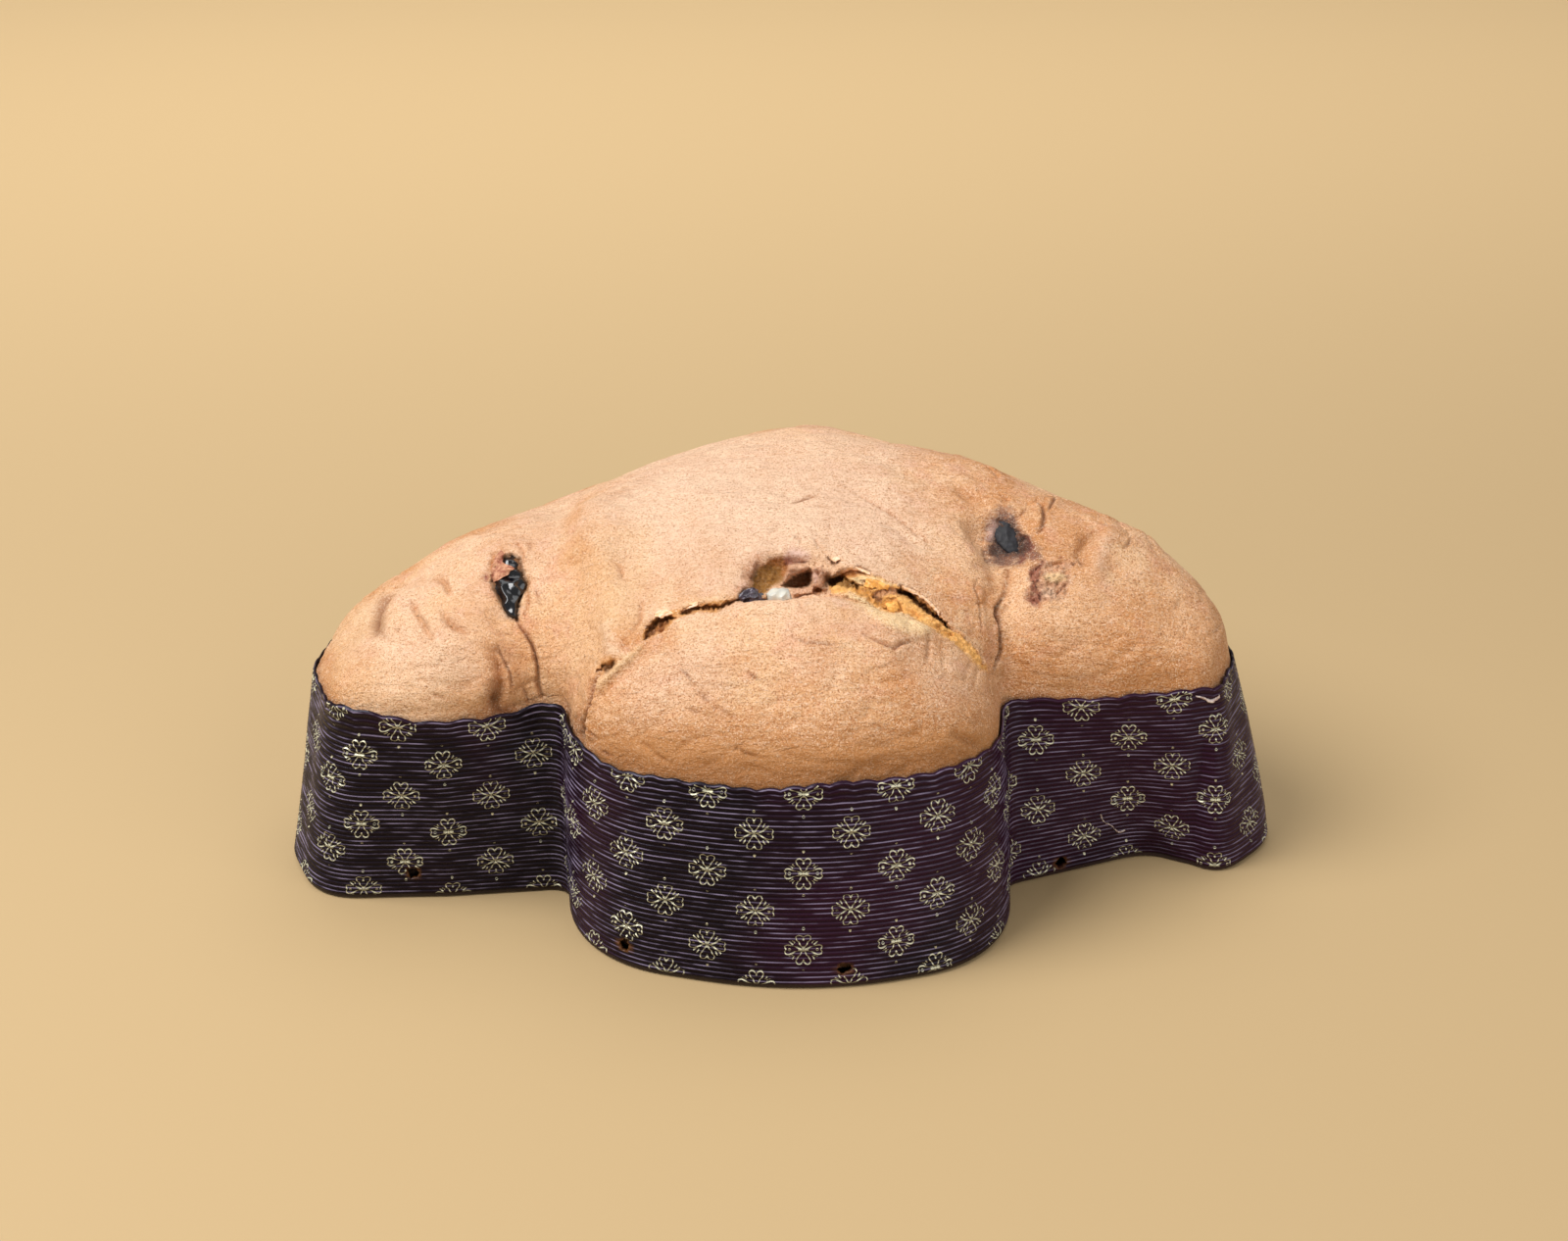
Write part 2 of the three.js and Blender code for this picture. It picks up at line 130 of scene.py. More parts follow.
class CrustSettings(bpy.types.PropertyGroup):
    mesh_size: length("Mesh size", "Spacing of the crust's mesh", 1.2 * MM)
    # also painted shade: the darker tone over the tail's front and the right wing
    tan: colour("Tan", "Baked crust", (0.68, 0.30, 0.100))
    peach: colour("Peach", "Crust that is stretched thin", (0.90, 0.54, 0.29))
    blush: colour("Blush", "Rosy patches of crust", (0.80, 0.40, 0.25))
    # besides the crust's own raised grain, this colour is painted as highlights on lit slopes and ridges
    bloom_and_highlight: colour("Bloom", "Pale raised grain", (0.95, 0.68, 0.49))
    # also painted light: lifts slopes that lie in shade, besides the crust's own yellowish patches
    cream_and_painted_light: colour("Cream", "Yellowish stretched patches", (0.88, 0.56, 0.30))
    speck: colour("Speck", "Dark grain of the crust", (0.46, 0.17, 0.055))
    # darker near the rim partly as the crust's own browning, partly as painted shade on the tail's front and
    # in some creases
    bake: colour("Bake", "Darker crust near the rim", (0.52, 0.23, 0.07))
    # partly painted shade, at the tail's front rim
    toast_and_shade: colour("Toast", "Darkest crust, at the tail's rim", (0.31, 0.12, 0.032))
    brown: colour("Brown", "Creases and pockets", (0.24, 0.075, 0.018))
    crumb: colour("Crumb", "Torn inside of the cake", (0.99, 0.51, 0.14))
    inner: colour("Inner crumb", "Crumb in the shade of the split", (0.34, 0.15, 0.020))
    ochre: colour("Ochre", "Darkest baked crumb", (0.72, 0.30, 0.05))
    rust: colour("Rust", "Underside of a torn lip", (0.48, 0.16, 0.03))
    rosy: colour("Rosy", "Skin stained by fruit", (0.66, 0.34, 0.20))
    # also a painted highlight beside the sunk raisin, besides the purple stains
    lilac_and_highlight: colour("Lilac", "Skin stained purple", (0.80, 0.52, 0.44))
    # also painted highlights inside the crater, besides the skin stretched over the crumb
    pale_and_highlight: colour("Pale", "Skin stretched over the crumb", (0.99, 0.71, 0.37))
    stain: colour("Fruit stain", "Crust stained by fruit", (0.36, 0.115, 0.09))
    ruby: colour("Dark red", "Burst skin", (0.26, 0.05, 0.03))
    umber: colour("Umber", "Feathered scorch round the sunk raisin", (0.13, 0.050, 0.042))
    cinnamon: colour("Cinnamon", "Torn edge of the left split", (0.26, 0.085, 0.010))
    # painted shade: the near-black of the split's bottom, the darkest creases and the raisin's socket
    shaded_hollow: colour("Hollow", "Bottom of the split", (0.15, 0.052, 0.008))
    # also painted shade: the crust behind the paper, seen through the skewer holes
    scorch: colour("Scorch", "Burnt crust round the sunk raisin", (0.020, 0.012, 0.014))


class CaseSettings(bpy.types.PropertyGroup):
    columns: IntProperty(name="Columns", description="Mesh columns round the wall", default=452, min=64)
    ridge_pitch: length("Ridge pitch", "Height of one ridge", 1.62 * MM)
    ridge_depth: length("Ridge depth", "Depth of the grooves", 0.65 * MM)
    aubergine: colour("Aubergine", "The paper's colour", (0.0055, 0.0012, 0.0036))
    # painted highlight: the colour painted on the ridges' upper sides
    crest: colour("Ridge", "Upper side of the ridges, where they catch the light", (0.27, 0.22, 0.33))
    foot: colour("Foot", "Smooth fold along the foot", (0.055, 0.036, 0.022))
    singed: colour("Singed", "Paper round the skewer holes", (0.16, 0.065, 0.02))
    gold: colour("Gold", "The print's colour", (0.92, 0.88, 0.62))


class FruitSettings(bpy.types.PropertyGroup):
    raisin: colour("Raisin", "Raisin skin", (0.0022, 0.0022, 0.0035))
    raisin_light: colour("Raisin, lighter", "Lighter patches of it", (0.004, 0.005, 0.009))
    burnt: colour("Burnt raisin", "Scorched raisin skin", (0.004, 0.0035, 0.006))
    burnt_light: colour("Burnt raisin, lighter", "Lighter patches of it", (0.012, 0.012, 0.02))
    dried_fruit: colour("Dried fruit", "Purple fruit in the split", (0.022, 0.012, 0.022))
    dried_light: colour("Dried fruit, lighter", "Lighter patches of it", (0.10, 0.07, 0.11))
    peel: colour("Candied peel", "Cloudy peel in the split", (0.66, 0.62, 0.52))
    peel_light: colour("Candied peel, greyer", "Greyer patches of it", (0.5, 0.53, 0.52))


class StageSettings(bpy.types.PropertyGroup):
    floor: colour("Floor", "Floor colour", (0.52, 0.365, 0.185))
    key_power: power("Key light", 24)
    fill_power: power("Fill light", 6.5)
    top_power: power("Top light", 7)


# ---------------------------------------------------------------- shared tools


def welded_copy(node):
    """A copy of a CAD node's mesh with its corners merged, as a bmesh."""
    bm = bmesh.new()
    bm.from_mesh(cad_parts[node].data)
    bmesh.ops.remove_doubles(bm, verts=bm.verts, dist=1e-6)
    return bm


def mesh_from(bm, name):
    mesh = bpy.data.meshes.new(name)
    bm.to_mesh(mesh)
    bm.free()
    return mesh


def with_modifiers(obj, *steps):
    """The mesh left when modifiers, as (type, {setting: value}), are applied to a work object in order."""
    bpy.context.scene.collection.objects.link(obj)
    for kind, settings in steps:
        modifier = obj.modifiers.new(kind, kind)
        for key, value in settings.items():
            setattr(modifier, key, value)
    shaped = bpy.data.meshes.new_from_object(obj.evaluated_get(bpy.context.evaluated_depsgraph_get()))
    bpy.data.objects.remove(obj)
    return shaped


def smooth(bm, verts, times):
    for _ in range(times):
        bmesh.ops.smooth_vert(bm, verts=verts, factor=0.5, use_axis_x=True, use_axis_y=True, use_axis_z=True)


def positions(mesh):
    co = np.empty(len(mesh.vertices) * 3)
    mesh.vertices.foreach_get("co", co)
    return co.reshape(-1, 3)


def normals(mesh):
    co = np.empty(len(mesh.vertices) * 3)
    mesh.vertex_normals.foreach_get("vector", co)
    return co.reshape(-1, 3)


def move_to(mesh, co):
    mesh.vertices.foreach_set("co", co.ravel())
    mesh.update()


def set_point_value(mesh, name, values):
    """Stores a number for each vertex, for the material to read."""
    layer = mesh.attributes.new(name, "FLOAT", "POINT")
    layer.data.foreach_set("value", np.asarray(values, np.float32))


def piece(name, mesh, material, replaces=()):
    """Puts a finished mesh in the scene as a piece of the cake."""
    mesh.shade_smooth()
    mesh.materials.clear()
    mesh.materials.append(material)
    mesh.name = name
    obj = bpy.data.objects.new(name, mesh)
    bpy.context.scene.collection.objects.link(obj)
    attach(obj, "root")
    if replaces:
        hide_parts(*replaces)
    return obj


def smoothstep(low, high, x):
    t = np.clip((x - low) / (high - low), 0, 1)
    return t * t * (3 - 2 * t)


def bell(away, width):
    """A bell curve over distances in metres, of a half width in millimetres."""
    return np.exp(-((away / (width * MM)) ** 2))


def cloud(points, size, octaves=3, seed=0):
    """Fractal noise, about -1 to 1, with lumps of the given size in metres. points is an array."""
    shift = Vector((seed * 17.3, seed * 5.1, seed * 9.7))
    return np.array([noise.fractal(Vector(p) / size + shift, 1.0, 2.0, octaves) for p in points])


def distance_to_path(points, path):
    """Distance from each point to a line through path, and how far along it the nearest place is, 0 to 1."""
    corners = np.array([tuple(p) for p in path])
    best = np.full(len(points), np.inf)
    where = np.zeros(len(points))
    for i, (a, b) in enumerate(zip(corners[:-1], corners[1:])):
        span = b - a
        t = np.clip((points - a) @ span / (span @ span), 0, 1)
        away = np.linalg.norm(points - a - t[:, None] * span, axis=1)
        nearer = away < best
        best[nearer] = away[nearer]
        where[nearer] = (i + t[nearer]) / (len(corners) - 1)
    return best, where


def close_to(points, path, reach):
    """The numbers of the points in the box round a path, with reach to spare."""
    corners = np.array([tuple(p) for p in path])
    inside = (points > corners.min(0) - reach) & (points < corners.max(0) + reach)
    return np.nonzero(np.all(inside, axis=1))[0]


def near_path(points, path, reach):
    """As distance_to_path, for the points within reach alone; the others are infinitely far."""
    close = close_to(points, path, reach)
    away, along = np.full(len(points), np.inf), np.zeros(len(points))
    away[close], along[close] = distance_to_path(points[close], path)
    return away, along


def inside_outline(u, v, outline, reach=90):
    """Signed distance in pixels to a closed outline: positive inside, and no further than reach outside."""
    every = np.stack([u, v], 1)
    close = close_to(every, outline, reach)
    signed = np.full(len(u), -float(reach))
    signed[close] = signed_distance(every[close], outline)
    return signed


def signed_distance(points, outline):
    u, v = points.T
    away, _ = distance_to_path(points, list(outline) + [outline[0]])
    crossings = np.zeros(len(u), bool)
    for (x0, y0), (x1, y1) in zip(outline, list(outline[1:]) + [outline[0]]):
        straddles = (y0 > v) != (y1 > v)
        with np.errstate(divide="ignore", invalid="ignore"):
            at = x0 + (v - y0) * (x1 - x0) / (y1 - y0)
        crossings ^= straddles & (u < at)
    return np.where(crossings, away, -away)


# ---------------------------------------------------------------- material helpers


class Recipe:
    """A material under construction, with short ways to add its nodes."""

    def __init__(self, name):
        self.material = bpy.data.materials.new(name)
        self.material.use_nodes = True
        self.tree = self.material.node_tree
        self.shader = self.tree.nodes["Principled BSDF"]
        self.place = self.tree.nodes.new("ShaderNodeTexCoord").outputs["Object"]

    def link(self, source, target):
        self.tree.links.new(source, target)

    def set(self, **values):
        for key, value in values.items():
            self.shader.inputs[key.replace("_", " ")].default_value = value

    def stretched(self, scale, turn=(0, 0, 0)):
        mapping = self.tree.nodes.new("ShaderNodeMapping")
        mapping.inputs["Scale"].default_value = scale
        mapping.inputs["Rotation"].default_value = turn
        self.link(self.place, mapping.inputs["Vector"])
        return mapping.outputs["Vector"]

    def noise(self, scale, detail=2.0, rough=0.5, vector=None, distortion=0.0):
        node = self.tree.nodes.new("ShaderNodeTexNoise")
        node.inputs["Scale"].default_value = scale
        node.inputs["Detail"].default_value = detail
        node.inputs["Roughness"].default_value = rough
        node.inputs["Distortion"].default_value = distortion
        self.link(vector or self.place, node.inputs["Vector"])
        return node.outputs["Fac"]

    def attribute(self, name):
        node = self.tree.nodes.new("ShaderNodeAttribute")
        node.attribute_name = name
        return node.outputs["Fac"]

    def ramp(self, value, low, high, out_low=0.0, out_high=1.0):
        node = self.tree.nodes.new("ShaderNodeMapRange")
        node.interpolation_type = "SMOOTHSTEP"
        node.inputs["From Min"].default_value = low
        node.inputs["From Max"].default_value = high
        node.inputs["To Min"].default_value = out_low
        node.inputs["To Max"].default_value = out_high
        self.link(value, node.inputs["Value"])
        return node.outputs["Result"]

    def math(self, operation, a, b):
        node = self.tree.nodes.new("ShaderNodeMath")
        node.operation = operation
        for socket, value in zip(node.inputs, (a, b)):
            if isinstance(value, (int, float)):
                socket.default_value = value
            else:
                self.link(value, socket)
        return node.outputs["Value"]

    def mix(self, factor, a, b, blend="MIX"):
        node = self.tree.nodes.new("ShaderNodeMix")
        node.data_type = "RGBA"
        node.blend_type = blend
        sockets = [s for s in node.inputs if s.enabled]
        for socket, value in zip(sockets, (factor, a, b)):
            if isinstance(value, (int, float)):
                socket.default_value = value
            elif isinstance(value, bpy.types.NodeSocket):
                self.link(value, socket)
            else:
                socket.default_value = (*value, 1)
        return next(s for s in node.outputs if s.enabled)

    def mix_value(self, factor, a, b):
        node = self.tree.nodes.new("ShaderNodeMix")
        sockets = [s for s in node.inputs if s.enabled]
        for socket, value in zip(sockets, (factor, a, b)):
            self.link(value, socket)
        return next(s for s in node.outputs if s.enabled)

    def bump(self, height, distance, strength=1.0, under=None):
        node = self.tree.nodes.new("ShaderNodeBump")
        node.inputs["Distance"].default_value = distance
        node.inputs["Strength"].default_value = strength
        self.link(height, node.inputs["Height"])
        if under:
            self.link(under, node.inputs["Normal"])
        return node.outputs["Normal"]

    def finish(self, colour, roughness=None, normal=None):
        self.link(colour, self.shader.inputs["Base Color"])
        if roughness:
            self.link(roughness, self.shader.inputs["Roughness"])
        if normal:
            self.link(normal, self.shader.inputs["Normal"])
        return self.material


# ---------------------------------------------------------------- crust

# The tables below give places by the photograph's pixels, and sizes in millimetres. Their finishes are
# the names of CrustSettings' colours.

# Creases: finish, half width, depth, how much of the finish covers them, and their path. A depth below
# zero is a ridge. The dark finishes painted into creases stand partly for the creases' own shadow, as
# painted shade; the wide brown one on the blister's left flank is painted shade.
CREASES = [
    ("brown", 0.5, 1.6, 0.9,
     [(527, 630), (531, 638), (536, 644), (542, 655), (546, 669), (549, 682), (550, 697), (553, 713)]),
    ("brown", 0.5, 1.2, 0.75, [(508, 662), (513, 672), (518, 681), (521, 688), (522, 700)]),
    ("rust", 1.3, 1.8, 0.9, [(505, 668), (509, 684), (511, 700), (509, 712)]),
    ("shaded_hollow", 2.0, 2.2, 1.0, [(506, 700), (504, 712), (507, 722)]),
    ("brown", 1.6, 1.4, 0.9, [(501, 722), (512, 726), (524, 722)]),
    ("brown", 0.5, 0.7, 0.6, [(533, 700), (539, 712), (541, 718)]),
    ("brown", 0.5, 0.7, 0.6, [(546, 694), (551, 706), (556, 716)]),
    ("rust", 0.7, 0.9, 0.8, [(539, 590), (538, 603), (538, 616), (536, 626)]),
    ("pale_and_highlight", 0.45, -0.8, 0.6, [(534, 586), (537, 597), (535, 608), (533, 616)]),
    ("rust", 0.7, 0.5, 0.8, [(506, 562), (502, 572), (500, 583)]),
    ("rust", 0.6, 0.5, 0.6, [(525, 553), (531, 557), (534, 566), (536, 580)]),
    ("brown", 0.5, 0.5, 0.5, [(541, 554), (542, 562)]),
    ("ruby", 0.9, 0.6, 1.0, [(496, 586), (496, 592)]),
    ("brown", 0.5, 0.5, 0.4, [(546, 600), (549, 609), (551, 617)]),
    ("shaded_hollow", 0.6, 2.2, 1.0,
     [(1026, 578), (1027, 592), (1026, 605), (1022, 612), (1018, 619), (1016, 629), (1020, 636),
      (1022, 650), (1023, 663), (1020, 672), (1016, 682)]),
    ("brown", 1.1, 1.2, 0.9, [(1018, 622), (1019, 630), (1021, 634)]),
    ("brown", 0.7, 1.2, 0.9, [(1001, 553), (1005, 560), (1009, 569)]),
    ("brown", 0.5, 0.5, 0.4, [(999, 590), (995, 600), (999, 611), (1001, 625), (1002, 640)]),
    ("brown", 0.7, 1.4, 0.8, [(1059, 509), (1064, 514), (1066, 526), (1064, 539), (1060, 541)]),
    ("brown", 1.6, -0.9, 0.0, [(1056, 511), (1061, 520), (1060, 533)]),
    ("brown", 0.5, 1.0, 0.8, [(1073, 500), (1078, 506), (1074, 513), (1070, 520)]),
    ("brown", 0.5, 0.7, 0.6, [(1036, 525), (1043, 521), (1049, 516)]),
    ("rust", 0.6, 0.7, 0.4, [(1022, 503), (1030, 507), (1024, 510)]),
    ("rust", 0.8, 1.0, 0.6, [(1006, 470), (1014, 480), (1019, 486)]),
    ("bake", 0.9, 1.8, 0.9, [(1112, 522), (1124, 531), (1137, 537), (1149, 541)]),
    ("bake", 1.6, 1.4, 0.8, [(1118, 548), (1107, 555), (1101, 566), (1101, 580)]),
    ("brown", 0.7, 0.9, 0.6, [(1118, 535), (1124, 540), (1129, 540)]),
    ("brown", 0.45, 0.6, 0.5, [(1144, 565), (1149, 560), (1151, 554)]),
    ("ruby", 0.9, 1.3, 1.0, [(1046, 610), (1053, 614), (1059, 621)]),
    ("brown", 0.5, 0.9, 0.9, [(1052, 598), (1062, 599), (1070, 600), (1077, 600)]),
    ("brown", 0.6, 1.0, 1.0, [(1077, 598), (1079, 600)]),
    ("brown", 0.45, 0.9, 0.9, [(1084, 596), (1086, 600), (1082, 605), (1077, 609)]),
    ("rust", 0.5, 0.8, 0.7, [(1068, 581), (1075, 577), (1081, 576), (1090, 580), (1097, 577)]),
    ("ruby", 0.6, 0.8, 0.7, [(1050, 592), (1055, 585), (1061, 578)]),
    ("ruby", 0.5, 0.7, 0.6, [(1057, 604), (1060, 612), (1067, 615)]),
    ("ruby", 0.5, 0.7, 0.8, [(1080, 571), (1084, 570)]),
    ("brown", 0.6, 0.7, 0.7, [(1101, 571), (1103, 580)]),
    ("brown", 0.6, 0.9, 0.5, [(872, 503), (893, 515), (915, 530), (935, 545), (954, 560)]),
    ("brown", 0.6, 1.1, 0.6, [(811, 513), (821, 509), (833, 505)]),
    ("bake", 1.7, 1.3, 0.65, [(978, 499), (986, 506), (1003, 513)]),
    ("bake", 0.8, 1.5, 0.6, [(424, 620), (427, 630), (436, 644), (444, 658)]),
    ("bake", 0.9, 1.5, 0.6, [(449, 590), (456, 598), (461, 610)]),
    ("bake", 0.9, 2.0, 0.75, [(457, 633), (462, 643), (469, 648), (478, 652)]),
    ("brown", 0.7, 0.7, 0.3, [(441, 708), (448, 711), (455, 713)]),
    # painted shade: the blister's dark left flank
    ("brown", 2.0, 2.2, 0.95, [(394, 610), (387, 622), (384, 634), (386, 648)]),
    ("bake", 0.7, 0.8, 0.4, [(392, 606), (402, 598), (416, 596)]),
    ("brown", 0.45, 0.8, 0.9, [(696, 686), (701, 689), (706, 696)]),
    ("brown", 0.4, 0.6, 0.9, [(765, 688), (769, 691), (774, 695)]),
    ("brown", 0.7, 0.6, 0.3, [(734, 722), (742, 729), (752, 734)]),
    ("brown", 0.45, 0.7, 0.6, [(810, 653), (823, 659), (838, 660), (853, 662)]),
    ("brown", 0.5, 1.0, 0.75, [(881, 652), (891, 657), (903, 663), (911, 666), (917, 661), (927, 657)]),
    ("rosy", 0.5, 0.5, 0.4, [(886, 637), (896, 645), (908, 649)]),
    ("rust", 0.6, 0.5, 0.6, [(916, 651), (927, 652)]),
    ("brown", 0.8, 0.6, 0.3, [(947, 650), (947, 674)]),
    ("brown", 0.4, 0.6, 0.8, [(917, 624), (920, 628), (923, 631)]),
    ("brown", 0.5, 1.0, 0.9, [(971, 641), (974, 643), (977, 645)]),
    ("brown", 0.45, 0.8, 0.8, [(980, 648), (983, 650), (986, 652)]),
    ("brown", 0.45, 0.8, 0.8, [(984, 651), (987, 654), (989, 657)]),
    ("brown", 0.45, 0.7, 0.7, [(993, 661), (996, 665), (998, 669)]),
    ("rust", 0.6, 0.7, 0.6, [(999, 677), (1004, 681), (1006, 686)]),
    ("rust", 0.6, 0.4, 0.5, [(816, 620), (818, 625)]),
    ("brown", 0.4, 0.6, 0.6, [(831, 552), (833, 557), (835, 561), (840, 563), (845, 570)]),
    ("brown", 0.4, 0.5, 0.5, [(811, 552), (816, 553), (817, 558)]),
    ("brown", 1.2, 1.0, 0.3, [(973, 750), (988, 757), (1001, 764)]),
    ("brown", 0.6, 2.2, 0.95, [(609, 700), (608, 712), (606, 720), (603, 729), (598, 740)]),
    ("shaded_hollow", 1.6, 2.2, 1.0, [(600, 734), (597, 743), (594, 754)]),
    ("bake", 2.4, 0.6, 0.5, [(590, 700), (594, 720), (592, 736)]),
    ("brown", 0.5, 0.9, 0.8, [(600, 741), (605, 747), (609, 752)]),
    ("brown", 0.5, 0.9, 0.8, [(612, 764), (618, 768), (624, 771)]),
    ("rust", 0.7, 0.5, 0.4, [(627, 574), (632, 576), (636, 585), (640, 590)]),
    ("brown", 0.5, 0.6, 0.5, [(702, 723), (707, 725), (713, 727)]),
    ("brown", 0.4, 0.6, 0.5, [(714, 707), (719, 712), (722, 716)]),
    ("rust", 0.7, 1.8, 0.9, [(658, 655), (650, 661), (643, 667), (634, 677)]),
    ("brown", 0.8, 2.0, 0.9, [(612, 690), (610, 698), (609, 706)]),
    ("pale_and_highlight", 1.1, -1.1, 0.7, [(617, 702), (626, 690), (640, 677), (654, 664)]),
    ("rust", 0.7, 0.8, 0.4, [(655, 612), (654, 630), (646, 648)]),
    ("bake", 0.7, 0.8, 0.4, [(655, 760), (668, 770), (684, 780)]),
    ("bake", 0.5, 0.9, 0.6, [(752, 764), (762, 769), (776, 774)]),
    ("bake", 0.7, 0.6, 0.3, [(706, 700), (722, 716), (738, 730), (748, 742)]),
    ("shaded_hollow", 0.6, 1.8, 1.0, [(753, 613), (758, 607), (764, 598), (768, 588), (772, 577)]),
    ("ochre", 0.5, -0.6, 0.8, [(775, 578), (772, 586), (771, 592)]),
    ("ochre", 0.5, -0.6, 0.8, [(782, 574), (779, 584), (776, 596)]),
    ("ochre", 0.5, -0.5, 0.7, [(791, 572), (788, 584), (784, 598)]),
    ("brown", 0.5, 1.0, 0.9, [(810, 611), (820, 611), (832, 610), (846, 611)]),
    ("brown", 0.45, 0.8, 0.7, [(832, 578), (835, 586), (833, 594), (831, 601)]),
    ("brown", 0.45, 0.8, 0.7, [(840, 579), (842, 588), (838, 597), (841, 604)]),
    ("lilac_and_highlight", 0.4, -0.6, 0.7, [(836, 577), (838, 587), (836, 598)]),
    ("shaded_hollow", 0.4, 0.8, 0.7, [(847, 588), (842, 595), (846, 603)]),
    ("brown", 0.4, 0.6, 0.6, [(803, 580), (814, 579), (826, 579)]),
    ("rust", 0.4, 0.5, 0.6, [(804, 586), (812, 583), (822, 581)]),
    ("pale_and_highlight", 0.4, -0.7, 0.8, [(850, 606), (864, 606), (878, 608), (888, 615), (898, 623)]),
    ("crumb", 0.4, -0.6, 0.7, [(870, 600), (882, 603), (892, 609)]),
    ("pale_and_highlight", 0.5, -0.7, 0.7, [(922, 617), (934, 622), (946, 630), (956, 638)]),
    ("ochre", 0.4, 0.6, 0.6, [(920, 622), (932, 627), (944, 635), (952, 642)]),
    ("pale_and_highlight", 0.4, -0.6, 0.7, [(960, 640), (970, 648), (982, 658), (993, 671)]),
    ("ochre", 0.4, 0.5, 0.6, [(962, 645), (974, 654), (985, 664)]),
]
